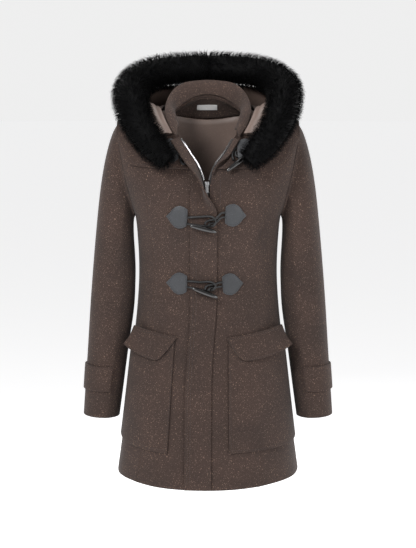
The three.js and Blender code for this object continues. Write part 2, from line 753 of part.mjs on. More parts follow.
// The collar's columns stand on the points of the panels at the neck seam.
function collarColumns(side) {
  const end = neckEndAngle(side);
  const place = (angle) => (angle - end) / (180 * side - end);
  const columns = [];
  for (let j = FRONT_COLUMNS; j >= 0; j -= 1) columns.push(place(mix(90 * side, end, j / FRONT_COLUMNS)));
  for (let j = 1; j <= BACK_COLUMNS; j += 1) columns.push(place(mix(90, 180, j / BACK_COLUMNS) * side));
  return columns;
}
function buildCollar() {
  const rows = 3;
  const grid = [];
  const right = collarColumns(-1);
  const left = collarColumns(1).reverse().slice(1);
  for (let i = 0; i <= rows; i += 1) {
    grid.push([
      ...right.map((along) => collarPoint(-1, along, i / rows)),
      ...left.map((along) => collarPoint(1, along, i / rows)),
    ]);
  }
  const normals = eased(grid, oneSided(grid, 0, right.length - 1, vec(0, 1, -1)), -COLLAR_THICK);
  const inner = shifted(grid, normals, -COLLAR_THICK);
  addMesh('collar', wall(grid, inner), 'wool');
}

// The placket: sewn flat on the right front, its flap covering the zip and turned back at the neck.
function placketRow(z) {
  const edge = hingePoint(z);
  const { point, out, across } = edge;
  const turn = lookUp(PLACKET_TURN, PLACKET_TURN_COLUMNS, 'turn', z) * RAD;
  const row = [];
  const sewnColumns = 2;
  const sewnReach = edge.sewn;
  for (let j = 0; j < sewnColumns; j += 1) {
    row.push(edge.sewnPoint(sewnReach * (1 - j / sewnColumns)));
  }
  const roll = PLACKET_ROLL;
  const flapColumns = 4;
  for (let j = 0; j <= flapColumns; j += 1) {
    const reach = (edge.flap * j) / flapColumns;
    const bent = Math.min(reach, roll * turn);
    const angle = turn > 0 ? bent / roll : 0;
    const rest = reach - bent;
    const sideways = (turn > 0 ? roll * Math.sin(angle) : 0) + rest * Math.cos(turn);
    const outwards = (turn > 0 ? roll * (1 - Math.cos(angle)) : 0) + rest * Math.sin(turn);
    row.push(edge.flatPoint(sideways).addScaledVector(out, outwards));
  }
  return { row, point, across };
}
// A front edge, on the body and on along the front of the collar: the point, the way out of the coat
// and the way across, towards the viewer's right.
function frontEdgeFrame(side, z) {
  const footZ = bodyPoint(neckEndAngle(side), NECK).z;
  const top = collarTop(side, 0);
  const place = (height) => {
    if (height <= footZ) return frontPoint(frontEdgeX(side, height), height, 0);
    const up = (height - footZ) / (top.z - footZ);
    return collarPoint(side, 0, up);
  };
  const point = place(z);
  const along = place(z + 3).sub(place(z - 3)).normalize();
  const up = (z - footZ) / (top.z - footZ);
  const beside = z > footZ ? collarPoint(side, 0.06, up)
    : frontPoint(frontEdgeX(side, z) + 5 * side, z, 0);
  const across = beside.sub(point).multiplyScalar(side);
  across.addScaledVector(along, -across.dot(along)).normalize();
  const out = across.clone().cross(along).normalize();
  if (out.y > 0) out.negate();
  return { point, out, across, onCollar: z > footZ };
}
// The line on which the placket's flap hangs: the right front's edge, set back beside the slider.
function hingePoint(z) {
  const lift = LAY + WOOL;
  const { point, out, across, onCollar } = frontEdgeFrame(-1, z);
  const back = 4 * clamp((z + 225) / 30, 0, 1);
  point.addScaledVector(across, -back);
  const straight = z < -190;
  const sewn = straight ? point.x - lookUp(FRONT_EDGE, FRONT_EDGE_COLUMNS, 'sewn', z)
    : mix(24, 7, clamp((z + 190) / 70, 0, 1));
  const free = lookUp(FRONT_EDGE, FRONT_EDGE_COLUMNS, 'free', z);
  const flap = free - frontEdgeX(-1, Math.min(z, OPENING_FOOT));
  const base = point.clone().addScaledVector(out, lift);
  const flatPoint = (sideways) => {
    if (!straight) return base.clone().addScaledVector(across, sideways);
    return frontPoint(point.x + sideways, z, lift);
  };
  const sewnPoint = (reach) => {
    if (onCollar) return base.clone().addScaledVector(across, -reach);
    return frontPoint(point.x - reach * across.x, z - reach * across.z, lift);
  };
  return { point, out, across, sewn, flap, flatPoint, sewnPoint };
}
function buildPlacket() {
  const heights = LEVELS.filter((level) => level < UNDERARM).map((level) => bodyPoint(0, level).z + 1);
  heights.push(-253, -241, -229, -217, -204, -190, -176, -162, -147, -132, -117, -102, -88);
  const rows = heights.map((z) => placketRow(z).row);
  const normals = gridNormals(rows, false, () => vec(0, -1, 0));
  // Where the flap has turned over, its outer face looks back at the coat: the normal keeps turning.
  rows.forEach((row, i) => {
    for (let j = 1; j < row.length; j += 1) {
      if (normals[i][j].dot(normals[i][j - 1]) < 0) normals[i][j].negate();
    }
  });
  addMesh('placket', wall(rows, shifted(rows, normals, -WOOL)), 'wool');
}

// The left front's edge, turned back a little beside the zip.
const BAND_COLUMNS = ['z', 'reach', 'turn'];
const BAND = [
  [-158, 3, 60],
  [-145, 6, 90],
  [-130, 11, 125],
  [-112, 15, 145],
  [-88, 17, 152],
];
const BAND_LIFT = 3.1;
function bandRow(z) {
  const at = (name) => lookUp(BAND, BAND_COLUMNS, name, z);
  const edge = frontEdgeFrame(1, z);
  const turn = at('turn') * RAD;
  const roll = 1.8;
  const row = [];
  for (let j = 0; j <= 3; j += 1) {
    const reach = 1.5 + (at('reach') * j) / 3;
    const bent = Math.min(reach, roll * turn);
    const rest = reach - bent;
    const inwards = roll * Math.sin(bent / roll) + rest * Math.cos(turn) - 1.5;
    const outwards = roll * (1 - Math.cos(bent / roll)) + rest * Math.sin(turn) + BAND_LIFT;
    row.push(edge.point.clone().addScaledVector(edge.across, -inwards).addScaledVector(edge.out, outwards));
  }
  return row;
}
function buildFrontBand() {
  const rows = [-158, -148, -138, -126, -114, -101, -88].map(bandRow);
  const normals = gridNormals(rows, false, (i, j) => vec(j > 1 ? 1 : -1, -0.3, 0));
  for (const row of normals) {
    for (let j = 1; j < row.length; j += 1) if (row[j].dot(row[j - 1]) < 0) row[j].negate();
  }
  const back = shifted(rows, normals, -WOOL * 0.8);
  addMesh('front_band_left', wall(rows, back), 'wool');
}

const YOKE_LIFT = 1.9;
// The yokes lie on the fronts, from the shoulder seam down to a topstitched edge.
function yokeInnerX(side, z) {
  if (side > 0) return frontEdgeX(1, z) + 7;
  const edge = hingePoint(z);
  return Math.min(edge.point.x - 4 - edge.sewn, -37);
}
function buildYoke(side, name) {
  const columns = 14;
  const rows = 7;
  const foot = (u) => {
    if (u >= 1) {
      const z = -147;
      const x = yokeInnerX(side, z);
      const angle = angleAt(x, z);
      return [angle, levelAt(angle, z)];
    }
    const row = u * (YOKE_EDGE.length - 1.6);
    const [x, z] = [atRow(YOKE_EDGE, 0, row), atRow(YOKE_EDGE, 1, row)];
    const angle = angleAt(x * side, z);
    return [angle, levelAt(angle, z)];
  };
  const shoulder = 0.5; // the part of the upper edge that follows the shoulder seam
  const head = (u) => {
    if (u < shoulder) return [89.4 * side, mix(13.12, 14.92, u / shoulder)];
    const end = neckEndAngle(side) + (side < 0 ? -7 : 6);
    return [mix(89.4 * side, end, (u - shoulder) / (1 - shoulder)), 14.92];
  };
  const layer = (off) => {
    const grid = [];
    for (let i = 0; i <= rows; i += 1) {
      const row = [];
      for (let j = 0; j <= columns; j += 1) {
        const [a, b] = [foot(j / columns), head(j / columns)];
        const t = i / rows;
        row.push(bodyOff(mix(a[0], b[0], t), mix(a[1], b[1], t), off));
      }
      grid.push(row);
    }
    return grid;
  };
  addMesh(`yoke_${name}`, wall(layer(YOKE_LIFT + WOOL), layer(YOKE_LIFT)), 'wool');
}

// Patch pockets with a soft bulge, and the slanted flaps over them.
function buildPocket(side, name) {
  const [innerX, innerTopZ, footX, footZ, outerTopZ, outerFootZ] = POCKETS[name];
  const columns = 6;
  const rows = 7;
  const layer = (off) => {
    const grid = [];
    for (let i = 0; i <= rows; i += 1) {
      const v = i / rows;
      const row = [];
      for (let j = 0; j <= columns; j += 1) {
        const u = j / columns;
        const z = mix(mix(footZ, outerFootZ, u ** 1.5), mix(innerTopZ, outerTopZ, u ** 1.5), v);
        const inner = angleAt(mix(footX, innerX, v), z);
        const angle = mix(inner, POCKET_OUTER_ANGLE * side, u);
        const bulge = POCKET_BULGE * Math.sin(Math.PI * u) * Math.sin(Math.PI * mix(0, 0.85, v));
        row.push(bodyOff(angle, levelAt(angle, z), off + bulge));
      }
      grid.push(row);
    }
    return grid;
  };
  addMesh(`pocket_${name}`, wall(layer(POCKET_LIFT + WOOL), layer(POCKET_LIFT)), 'wool');
}

// How far the flap lies off the coat from its sewn edge to its foot, at its inner and outer end.
const FLAP_LIFT_COLUMNS = ['down', 'inner', 'outer'];
const FLAP_LIFT = [
  [0, 1, 11],
  [0.22, 5.4, 14],
  [0.45, 7.4, 17],
  [0.7, 8.6, 22],
  [1, 9.2, 30],
];
const FLAP_OUTER_ANGLE = 67;
function buildFlap(side, name) {
  const [innerTopX, innerTopZ, , outerTopZ, innerFootX, innerFootZ, , outerFootZ] = FLAPS[name];
  const columns = 8;
  const layer = (off) => FLAP_LIFT.map(([down]) => {
    const row = [];
    for (let j = 0; j <= columns; j += 1) {
      const u = j / columns;
      const round = 7 * down * down * ((1 - u) ** 8 + u ** 8);
      const z = mix(mix(innerTopZ, outerTopZ, u), mix(innerFootZ, outerFootZ, u), down) + round;
      const inner = angleAt(mix(innerTopX, innerFootX, down), z);
      const angle = mix(inner, FLAP_OUTER_ANGLE * side, u);
      const near = lookUp(FLAP_LIFT, FLAP_LIFT_COLUMNS, 'inner', down);
      const far = lookUp(FLAP_LIFT, FLAP_LIFT_COLUMNS, 'outer', down);
      row.push(bodyOff(angle, levelAt(angle, z), mix(near, far, u ** 3) + off));
    }
    return row;
  });
  addMesh(`pocket_flap_${name}`, wall(layer(WOOL), layer(0)), 'wool');
}

// The facing inside the back of the neck, the lining below it and the label.
const INSIDE = -(WOOL + LAY);
function buildNeckFacing() {
  const [columns, rows, deep] = [12, 4, 60];
  const layer = (off) => {
    const grid = [];
    for (let i = 0; i <= rows; i += 1) {
      const row = [];
      for (let j = 0; j <= columns; j += 1) {
        const angle = mix(92, 268, j / columns);
        const signed = angle > 180 ? angle - 360 : angle;
        const level = levelBelowNeck(signed, mix(1.2, deep, i / rows));
        row.push(bodyOff(angle, level, off));
      }
      grid.push(row);
    }
    return grid;
  };
  addMesh('neck_facing', wall(layer(INSIDE), layer(INSIDE - FACING)), 'wool');
}
const PLEAT = 4;
function buildLiningBack() {
  const low = LEVELS.filter((level, i) => level > 0.3 && level < 12.4 && (i % 2 === 0 || level >= UNDERARM));
  const half = (side) => {
    const columns = [];
    for (let j = 0; j <= BACK_COLUMNS; j += 1) columns.push({ side, part: Math.max(j / BACK_COLUMNS, 0.03) });
    return columns;
  };
  const columns = [...half(-1), ...half(1).reverse().slice(1)];
  const layer = (off) => [...low, 'top'].map((level) => columns.map(({ side, part }) => {
    const edge = level === 'top' ? 0 : armholeAngle(level);
    const angle = mix(90 + edge, 180, part) * side;
    const pleat = part === 1 ? PLEAT : 0;
    return bodyOff(angle, level === 'top' ? levelBelowNeck(angle, 63) : level, off - pleat);
  }));
  const hang = INSIDE - 1.8;
  addMesh('lining_back', wall(layer(hang), layer(hang - LINING)), 'lining');
}
function buildLabel() {
  const layer = (off) => [-27, -21, -15.5].map((z) => [-24, -9, 6, 20].map((x) => {
    const side = Math.sign(x);
    const widthAt = (angle) => Math.abs(bodyPoint(angle, levelAt(angle, z)).x) - Math.abs(x);
    const angle = solve(widthAt, 180 * side, 95 * side);
    return bodyOff(angle, levelAt(angle, z), off);
  }));
  const lift = INSIDE - FACING - 1.6;
  addMesh('label', wall(layer(lift), layer(lift - 0.6)), 'label');
}

// The fur and the hood it edges.
function furPoint(side, along) {
  const at = (name) => lookUp(FUR, FUR_COLUMNS, name, along);
  return { middle: vec(side * at('x'), at('y'), at('z')), radius: at('radius') };
}
const FUR_RINGS = 13;
const FUR_SIDES = 12;
function buildFur(side, name) {
  const points = [];
  const faces = [];
  const rings = [];
  for (let i = 0; i < FUR_RINGS; i += 1) rings.push(i / (FUR_RINGS - 1));
  rings.forEach((along, i) => {
    const { middle, radius } = furPoint(side, along);
    const before = furPoint(side, Math.max(along - 0.02, 0)).middle;
    const after = furPoint(side, Math.min(along + 0.02, 1)).middle;
    const tangent = i === FUR_RINGS - 1 ? vec(-side, 0, 0) : after.sub(before).normalize();
    if (i === FUR_RINGS - 1) middle.x = side * (SEAM / 2 + 0.1);
    const upright = UP.clone().addScaledVector(tangent, -UP.dot(tangent)).normalize();
    const outward = tangent.clone().cross(upright);
    const small = i === 0 ? 0.78 : 1;
    for (let k = 0; k < FUR_SIDES; k += 1) {
      const turn = (2 * Math.PI * k) / FUR_SIDES;
      const p = middle.clone();
      p.addScaledVector(upright, radius * small * Math.cos(turn));
      p.addScaledVector(outward, radius * small * Math.sin(turn));
      points.push(p.x, p.y, p.z);
    }
  });
  for (let i = 0; i < FUR_RINGS - 1; i += 1) {
    for (let k = 0; k < FUR_SIDES; k += 1) {
      const [a, b] = [i * FUR_SIDES + k, i * FUR_SIDES + ((k + 1) % FUR_SIDES)];
      faces.push(a, b, b + FUR_SIDES, a, b + FUR_SIDES, a + FUR_SIDES);
    }
  }
  const last = (FUR_RINGS - 1) * FUR_SIDES;
  const centre = points.length / 3;
  const first = furPoint(side, 0);
  const ahead = furPoint(side, 0.04).middle.sub(first.middle).normalize();
  const tip = first.middle.addScaledVector(ahead, -6);
  points.push(tip.x, tip.y, tip.z);
  const end = furPoint(side, 1).middle;
  points.push(side * (SEAM / 2 + 0.1), end.y, end.z);
  for (let k = 0; k < FUR_SIDES; k += 1) {
    const next = (k + 1) % FUR_SIDES;
    faces.push(centre, next, k);
    faces.push(centre + 1, last + k, last + next);
  }
  addMesh(`fur_${name}`, closedGeometry(points, faces), 'fur');
}

const HOOD_ROWS = 13;
const HOOD_HALF_COLUMNS = 10;
const HOOD_GAP = 2; // between the hood's wool and its lining
const FUR_CLEAR = 7; // from the fur's tube to the cloth that passes it
const FUR_SEAT = 3.6; // from the fur's tube to the hood's edge
function hoodSection(side, along) {
  const at = (name) => lookUp(HOOD, HOOD_COLUMNS, name, along);
  const angle = at('neck') * side;
  const spot = (down, off) => bodyOff(angle, levelBelowNeck(angle, down), off);
  // Between its first two points the section lies along the coat.
  const points = [0, 0.34, 0.67].map((t) => {
    const down = mix(at('downA'), at('downB'), t);
    return spot(down, mix(at('offA'), at('offB'), t));
  });
  for (const k of ['B', 'C', 'D']) points.push(spot(at(`down${k}`), at(`off${k}`)));
  points.push(besideFur(side, points[points.length - 1], at('fur'), true));
  const spaced = new THREE.CatmullRomCurve3(points, false, 'centripetal').getSpacedPoints(HOOD_ROWS);
  return spaced.map((p, i) => (i === HOOD_ROWS ? p : besideFur(side, p, at('fur'), false)));
}
// A point brought to the fur's side, or only kept clear of it; near is the part of the fur to look at.
function besideFur(side, point, near, bring) {
  let best = null;
  for (let along = Math.max(near - 0.16, 0); along <= Math.min(near + 0.16, 1); along += 0.02) {
    const spot = furPoint(side, along);
    const away = point.clone().sub(spot.middle);
    const clear = away.length() - spot.radius - (bring ? FUR_SEAT : FUR_CLEAR);
    if (!best || clear < best.clear) best = { spot, away, clear };
  }
  if (!bring && best.clear >= 0) return point;
  return point.clone().addScaledVector(best.away.normalize(), -best.clear);
}
function buildHood() {
  const grids = {};
  for (const [side, name] of [[-1, 'right'], [1, 'left']]) {
    const sections = [];
    for (let j = 0; j <= HOOD_HALF_COLUMNS; j += 1) {
      const section = hoodSection(side, j / HOOD_HALF_COLUMNS);
      if (j === HOOD_HALF_COLUMNS) section.forEach((p) => p.setX(side * SEAM * 0.6));
      sections.push(section);
    }
    const grid = sections[0].map((_, i) => sections.map((section) => section[i]));
    grids[name] = grid;
  }
  const normalsOf = (grid) => {
    const soft = eased(grid, oneSided(grid, 0, 5, UP), HOOD_WOOL + HOOD_GAP + LINING);
    for (const row of soft) row[HOOD_HALF_COLUMNS].setX(0).normalize();
    return soft;
  };
  const linings = {};
  for (const [side, name] of [[-1, 'right'], [1, 'left']]) {
    const grid = grids[name];
    const normals = normalsOf(grid);
    // The left half's columns run backwards, so that its quads are cut the same way as the lining's.
    const run = (layer) => (side < 0 ? layer : layer.map((row) => [...row].reverse()));
    addMesh(`hood_${name}`, wall(run(grid), run(shifted(grid, normals, HOOD_WOOL))), 'wool');
    const rows = grid.map((_, i) => i).slice(1);
    const pick = (layer) => rows.map((i) => layer[i]);
    linings[name] = {
      near: pick(shifted(grid, normals, HOOD_WOOL + HOOD_GAP)),
      far: pick(shifted(grid, normals, HOOD_WOOL + HOOD_GAP + LINING)),
    };
  }
  const joined = (layer) => linings.right[layer].map((row, i) => {
    const left = linings.left[layer][i].slice(0, -1).reverse();
    return [...row.slice(0, -1), row[row.length - 1].clone().setX(0), ...left];
  });
  addMesh('hood_lining', wall(joined('near'), joined('far')), 'lining');
}

// Leather patches: a rounded shield with its point turned away from the front edge.
function buildPatches() {
  const sides = 16;
  for (const [name, [x, z, facing, tilt]] of Object.entries(PATCHES)) {
    const lift = name.includes('top') ? YOKE_LIFT + WOOL + 0.6 : LAY;
    const spot = (turn, part, off) => {
      const folded = turn > 180 ? 360 - turn : turn;
      const reach = lookUp(PATCH, PATCH_COLUMNS, 'reach', folded) * part;
      const a = (turn + tilt) * RAD;
      return frontPoint(x + facing * reach * Math.cos(a), z + reach * Math.sin(a), off);
    };
    const points = [];
    const faces = [];
    for (const off of [lift + LEATHER, lift]) {
      const middle = frontPoint(x, z, off);
      points.push(middle.x, middle.y, middle.z);
      for (const part of [0.55, 1]) {
        for (let k = 0; k < sides; k += 1) {
          const p = spot((360 * k) / sides, part, off);
          points.push(p.x, p.y, p.z);
        }
      }
    }
    const half = 1 + 2 * sides;
    for (let k = 0; k < sides; k += 1) {
      const n = (k + 1) % sides;
      faces.push(0, 1 + k, 1 + n);
      faces.push(1 + k, 1 + sides + k, 1 + sides + n, 1 + k, 1 + sides + n, 1 + n);
      faces.push(half, half + 1 + n, half + 1 + k);
      faces.push(half + 1 + k, half + 1 + sides + n, half + 1 + sides + k);
      faces.push(half + 1 + k, half + 1 + n, half + 1 + sides + n);
      faces.push(1 + sides + k, half + 1 + sides + k, half + 1 + sides + n);
      faces.push(1 + sides + k, half + 1 + sides + n, 1 + sides + n);
    }
    addMesh(name, closedGeometry(points, faces), 'leather');
  }
}

// Toggles: horn-shaped, thickest a little off the middle, with rounded ends.
const TOGGLE_PROFILE = [
  // part of the length from one end, part of the radius
  [0, 0], [0, 0.42], [0.04, 0.66], [0.2, 0.86], [0.48, 1], [0.72, 0.94], [0.92, 0.7], [1, 0.4], [1, 0],
];
const TOGGLES = {
  // name: x and height of both ends and how far the middle line stands off the coat
  toggle_top: [40, -152, 77, -126, 12.5, 13.5],
  toggle_middle: [-35, -254.2, 18, -267.2, 16.5, 16.5],
  toggle_lower: [-32, -384.9, 21, -406.9, 16.5, 16.5],
};
function buildToggles() {
  for (const [name, [x0, z0, x1, z1, off0, off1]] of Object.entries(TOGGLES)) {
    const a = frontPoint(x0, z0, off0);
    const b = frontPoint(x1, z1, off1);
    const middle = a.clone().add(b).multiplyScalar(0.5);
    const profile = TOGGLE_PROFILE.map(([along, part]) =>
      new THREE.Vector2(part * TOGGLE_RADIUS, (along - 0.5) * TOGGLE_LENGTH));
    const mesh = addMesh(name, new THREE.LatheGeometry(profile, 10), 'toggle');
    mesh.quaternion.setFromUnitVectors(vec(0, 1, 0), b.sub(a).normalize());
    mesh.position.copy(middle);
  }
}

// Braided cords as plain round tubes along settled lines of points given by x, height and stand-off.
function cordTube(name, route, pieces) {
  const points = route.map(([x, z, off]) => frontPoint(x, z, off));
  const curve = new THREE.CatmullRomCurve3(points, false, 'centripetal');
  const circle = new THREE.Shape().absarc(0, 0, CORD / 2, 0, 2 * Math.PI);
  const geometry = new THREE.ExtrudeGeometry(circle, {
    extrudePath: curve,
    steps: pieces,
    curveSegments: 4,
    bevelEnabled: false,
  });
  addMesh(name, geometry, 'cord');
}
const ON_COAT = LAY + CORD / 2;
const ON_YOKE = YOKE_LIFT + WOOL + 0.6 + CORD / 2;
const ON_PLACKET = 2 * LAY + WOOL + CORD / 2 + 0.8;
function buildCords() {
  // For both fastened toggles: x and height of the right patch's inner side and of the left one's.
  const sets = {
    middle: { fromX: -40.5, fromZ: -247.5, toX: 33.5, toZ: -236, knotZ: -248, drop: 0 },
    lower: { fromX: -41.5, fromZ: -379, toX: 28.5, toZ: -379, knotZ: -382, drop: 2.9 },
  };
  // The top toggle hangs loose and the loop meant for it lies under the turned-back placket.
  cordTube('loop_top', [
    [-57, -109, ON_YOKE],
    [-52, -114, ON_YOKE],
    [-46.5, -123, ON_YOKE],
    [-44, -133, ON_YOKE],
    [-49, -139, ON_YOKE],
    [-54, -133, ON_YOKE],
    [-54.5, -124, ON_YOKE],
    [-57, -117, ON_YOKE],
  ], 22);
  cordTube('cord_top_upper', [
    [57, -108, ON_YOKE],
    [53, -111, ON_YOKE],
    [49.5, -118, ON_YOKE],
    [49, -126, ON_YOKE + 2],
    [51, -133, 12.5],
  ], 9);
  cordTube('cord_top_lower', [
    [57, -114.5, ON_YOKE],
    [55.5, -117, ON_YOKE + 0.5],
    [55, -122, ON_YOKE + 2],
    [57.5, -127.5, 12.5],
  ], 8);
  for (const [name, { fromX, fromZ, toX, toZ, knotZ, drop }] of Object.entries(sets)) {
    const high = ON_PLACKET + CORD + 0.6;
    cordTube(`loop_${name}`, [
      [fromX, fromZ + 6.5, ON_COAT],
      [fromX + 7, fromZ + 7, ON_PLACKET - 0.6],
      [-16, knotZ + 8.5, ON_PLACKET],
      [2, knotZ + 9.5, ON_PLACKET + 1],
      [11, knotZ + 7, high],
      [15, knotZ, high],
      [11, knotZ - 7, high],
      [3, knotZ - 9, ON_PLACKET + 1],
      [-16, knotZ - 8, ON_PLACKET],
      [fromX + 7, fromZ - 6.5, ON_PLACKET - 0.6],
      [fromX, fromZ - 6, ON_COAT],
    ], 26);
    cordTube(`cord_${name}_upper`, [
      [toX, toZ + 4.5, ON_COAT],
      [toX - 7, toZ + 3.5, ON_COAT + 1.5],
      [14, knotZ + 4, ON_PLACKET + 0.3],
      [3, knotZ + 2, ON_PLACKET + 0.3],
      [-4, knotZ - 1, ON_PLACKET + 2.5],
      [-6, knotZ - 5 - drop, high + 0.4],
    ], 9);
    cordTube(`cord_${name}_lower`, [
      [toX, toZ - 4.5, ON_COAT],
      [toX - 7, toZ - 5, ON_COAT + 1.5],
      [14, knotZ - 3.2, ON_PLACKET],
      [7, knotZ - 3.6, ON_PLACKET + 1],
      [3, knotZ - 4.4, ON_PLACKET + 3.5],
      [1, knotZ - 7 - drop, high + 0.8],
    ], 9);
  }
}

// The zip: tapes inside the front edges, the closed chain under the placket and two open rows of teeth.
const TAPE_REACH_COLUMNS = ['z', 'reach'];
const TAPE_REACH = [
  [-760, 1.9],
  [-196, 1.9],
  [-188, 2],
  [-166, 2.2],
  [-156, 2.4],
  [-84, 2.6],
];
const ZIP_FOOT = -762;
const SLIDER_Z = -177;
function buildZip() {
  const depth = -(WOOL + LAY);
  const closed = LEVELS.map((level) => bodyPoint(0, level).z).filter((z) => z > ZIP_FOOT && z < -200);
  const heights = [ZIP_FOOT, ...closed, -197, -188, -177, -166, -155, -143, -131, -118, -105, -94, -85];
  for (const [side, name] of [[-1, 'right'], [1, 'left']]) {
    const spot = (z, inwards, off) => {
      const { point, out, across } = frontEdgeFrame(side, z);
      const p = point.clone().addScaledVector(across, -side * inwards);
      return p.addScaledVector(out, off);
    };
    const layer = (off) => heights.map((z) => {
      const reach = lookUp(TAPE_REACH, TAPE_REACH_COLUMNS, 'reach', z);
      return [spot(z, -7, off), spot(z, reach, off)];
    });
    addMesh(`zip_tape_${name}`, wall(layer(depth), layer(depth - ZIP_TAPE)), 'tape');
    const open = heights.filter((z) => z > SLIDER_Z + 8);
    const teeth = (off) => open.map((z) => {
      const reach = lookUp(TAPE_REACH, TAPE_REACH_COLUMNS, 'reach', z) + SEAM + 0.1;
      return [spot(z, reach, off), spot(z, reach + ZIP_TEETH, off)];
    });
    const teethOff = depth + 0.8;
    addMesh(`zip_teeth_${name}`, wall(teeth(teethOff), teeth(teethOff - ZIP_TEETH)), 'metal');
  }
  const chainHeights = heights.filter((z) => z < SLIDER_Z - 8);
  const chain = (off) => chainHeights.map((z) => {
    const x = z > -200 ? -2 : zipX(z);
    return [frontPoint(x - 2.6, z, off), frontPoint(x + 2.6, z, off)];
  });
  addMesh('zip_chain', wall(chain(depth + 0.8), chain(depth + 0.8 - ZIP_TEETH)), 'metal');
  buildSlider();
}
function buildSlider() {
  const place = frontPoint(-2, SLIDER_Z, 0);
  const high = frontPoint(-2, SLIDER_Z + 5, 0);
  const low = frontPoint(-2, SLIDER_Z - 5, 0);
  const lean = Math.atan2(high.y - low.y, high.z - low.z);
  const plan = new THREE.Shape([
    [-3, -6.5], [3, -6.5], [3.6, -1], [4.6, 6], [1.4, 6.8], [0, 4.6], [-1.4, 6.8], [-4.6, 6], [-3.6, -1],
  ].map(([x, y]) => new THREE.Vector2(x, y)));
  const body = new THREE.ExtrudeGeometry(plan, { depth: 5, bevelEnabled: false });
  // Built lying flat, then stood up to face the front and leaned with the chest.
  const slider = new THREE.Group();
  slider.position.copy(place);
  slider.rotation.x = Math.PI / 2 - lean;
  coat.add(slider);
  const add = (name, geometry) => {
    const mesh = addMesh(name, geometry, 'metal');
    slider.add(mesh);
    return mesh;
  };
  add('zip_slider', body).position.z = -4.6;
  const arch = new THREE.QuadraticBezierCurve3(vec(0, 4.6, 0.8), vec(0, 0, 10.4), vec(0, -4.6, 0.8));
  const rod = new THREE.Shape().absarc(0, 0, 0.7, 0, 2 * Math.PI);
  add('zip_bail', new THREE.ExtrudeGeometry(rod, {
    extrudePath: arch, steps: 8, curveSegments: 4, bevelEnabled: false,
  }));
  const tab = new THREE.Shape();
  tab.absarc(0, -0.8, 2.6, 0, Math.PI);
  tab.lineTo(-3.1, -14);
  tab.absarc(0, -14, 3.1, Math.PI, 2 * Math.PI);
  const eye = new THREE.Path();
  eye.absellipse(0, -2.3, 1.6, 2.4, 0, 2 * Math.PI);
  tab.holes.push(eye);
  const pull = new THREE.ExtrudeGeometry(tab, { depth: 1.3, curveSegments: 6, bevelEnabled: false });
  const hung = add('zip_pull', pull);
  hung.position.set(0, -0.6, 2.6);
}

buildBody();
buildSleeves();
buildCollar();
buildPlacket();
buildFrontBand();
for (const [side, name] of [[-1, 'right'], [1, 'left']]) {
  buildYoke(side, name);
  buildPocket(side, name);
  buildFlap(side, name);
  buildFur(side, name);
}
buildNeckFacing();
buildLiningBack();
buildLabel();
buildHood();
buildPatches();
buildToggles();
buildCords();
buildZip();

export default coat;
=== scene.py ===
# %% [markdown]
# # A hooded duffle coat, dressed for rendering
# The three.js model gives every cut piece of the coat as its own solid, at its real size. This
# script keeps those shapes and adds what a solid can't carry: soft edges, creases, the mottled
# weave, the fur's hairs, the zip's teeth, the cords' braid and the topstitching.

# %% Frame
import math
import bmesh
import bpy
import numpy as np
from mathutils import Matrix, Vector
from mathutils.bvhtree import BVHTree


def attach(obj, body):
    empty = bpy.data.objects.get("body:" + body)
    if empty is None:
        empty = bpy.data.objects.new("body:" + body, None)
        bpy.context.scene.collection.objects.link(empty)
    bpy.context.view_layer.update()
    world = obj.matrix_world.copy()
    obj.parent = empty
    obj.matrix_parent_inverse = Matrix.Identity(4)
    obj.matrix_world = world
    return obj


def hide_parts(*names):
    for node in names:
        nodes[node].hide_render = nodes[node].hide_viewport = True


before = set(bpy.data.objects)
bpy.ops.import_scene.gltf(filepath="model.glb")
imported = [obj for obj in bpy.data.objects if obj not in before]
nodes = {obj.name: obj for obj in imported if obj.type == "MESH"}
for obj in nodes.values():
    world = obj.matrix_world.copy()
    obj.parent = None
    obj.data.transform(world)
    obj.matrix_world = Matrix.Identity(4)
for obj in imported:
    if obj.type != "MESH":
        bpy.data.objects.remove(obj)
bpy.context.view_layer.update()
MM = 0.001
rng = np.random.default_rng(7)

# %% [markdown]
# ## Camera
# The photograph looks at the coat from the front, a little downwards, from far away. A long lens
# three metres off gives the same flat view.

# %% The camera
CAMERA_PLACE = (0.0, -3.0, 0.020)  # metres
CAMERA_AIM = (0.0, 0.0, -0.372)
FOCAL_PIXELS = 1440  # the lens, in pixels of the photograph
FRAME_HEIGHT = 548  # pixels
SENSOR = 36.0  # millimetres


def aimed(thing, place, target):
    """Puts a camera or a lamp in its place, turned towards a target."""
    bpy.context.scene.collection.objects.link(thing)
    thing.location = place
    way = Vector(target) - Vector(place)
    thing.rotation_euler = way.to_track_quat("-Z", "Y").to_euler()


camera = bpy.data.objects.new("camera", bpy.data.cameras.new("camera"))
aimed(camera, CAMERA_PLACE, CAMERA_AIM)
camera.data.sensor_fit = "VERTICAL"
camera.data.sensor_height = SENSOR
camera.data.lens = SENSOR * FOCAL_PIXELS / FRAME_HEIGHT
bpy.context.scene.camera = camera
print("lens", round(camera.data.lens, 1))

# %% [markdown]
# ## Shader group and materials
# A mottled woollen cloth is woven from yarns of several dark shades. Three layers of noise give it:
# the yarns, scattered light flecks and a slow change from one area to the next. One node group does
# this, and each material places it with its own colours and its own size of yarn, the fur, the
# leather and the metal among them.


# %% Helpers for shader nodes
def add(tree, kind, **values):
    node = tree.nodes.new(kind)
    for key, value in values.items():
        setattr(node, key, value)
    return node


def feed(tree, place, value):
    """Links a socket to another one, or sets it to a value."""
    if isinstance(value, bpy.types.NodeSocket):
        tree.links.new(value, place)
    else:
        place.default_value = value


def noise(tree, vector, scale, detail):
    node = add(tree, "ShaderNodeTexNoise")
    for name, value in (("Vector", vector), ("Scale", scale), ("Detail", detail)):
        feed(tree, node.inputs[name], value)
    return node.outputs["Fac"]


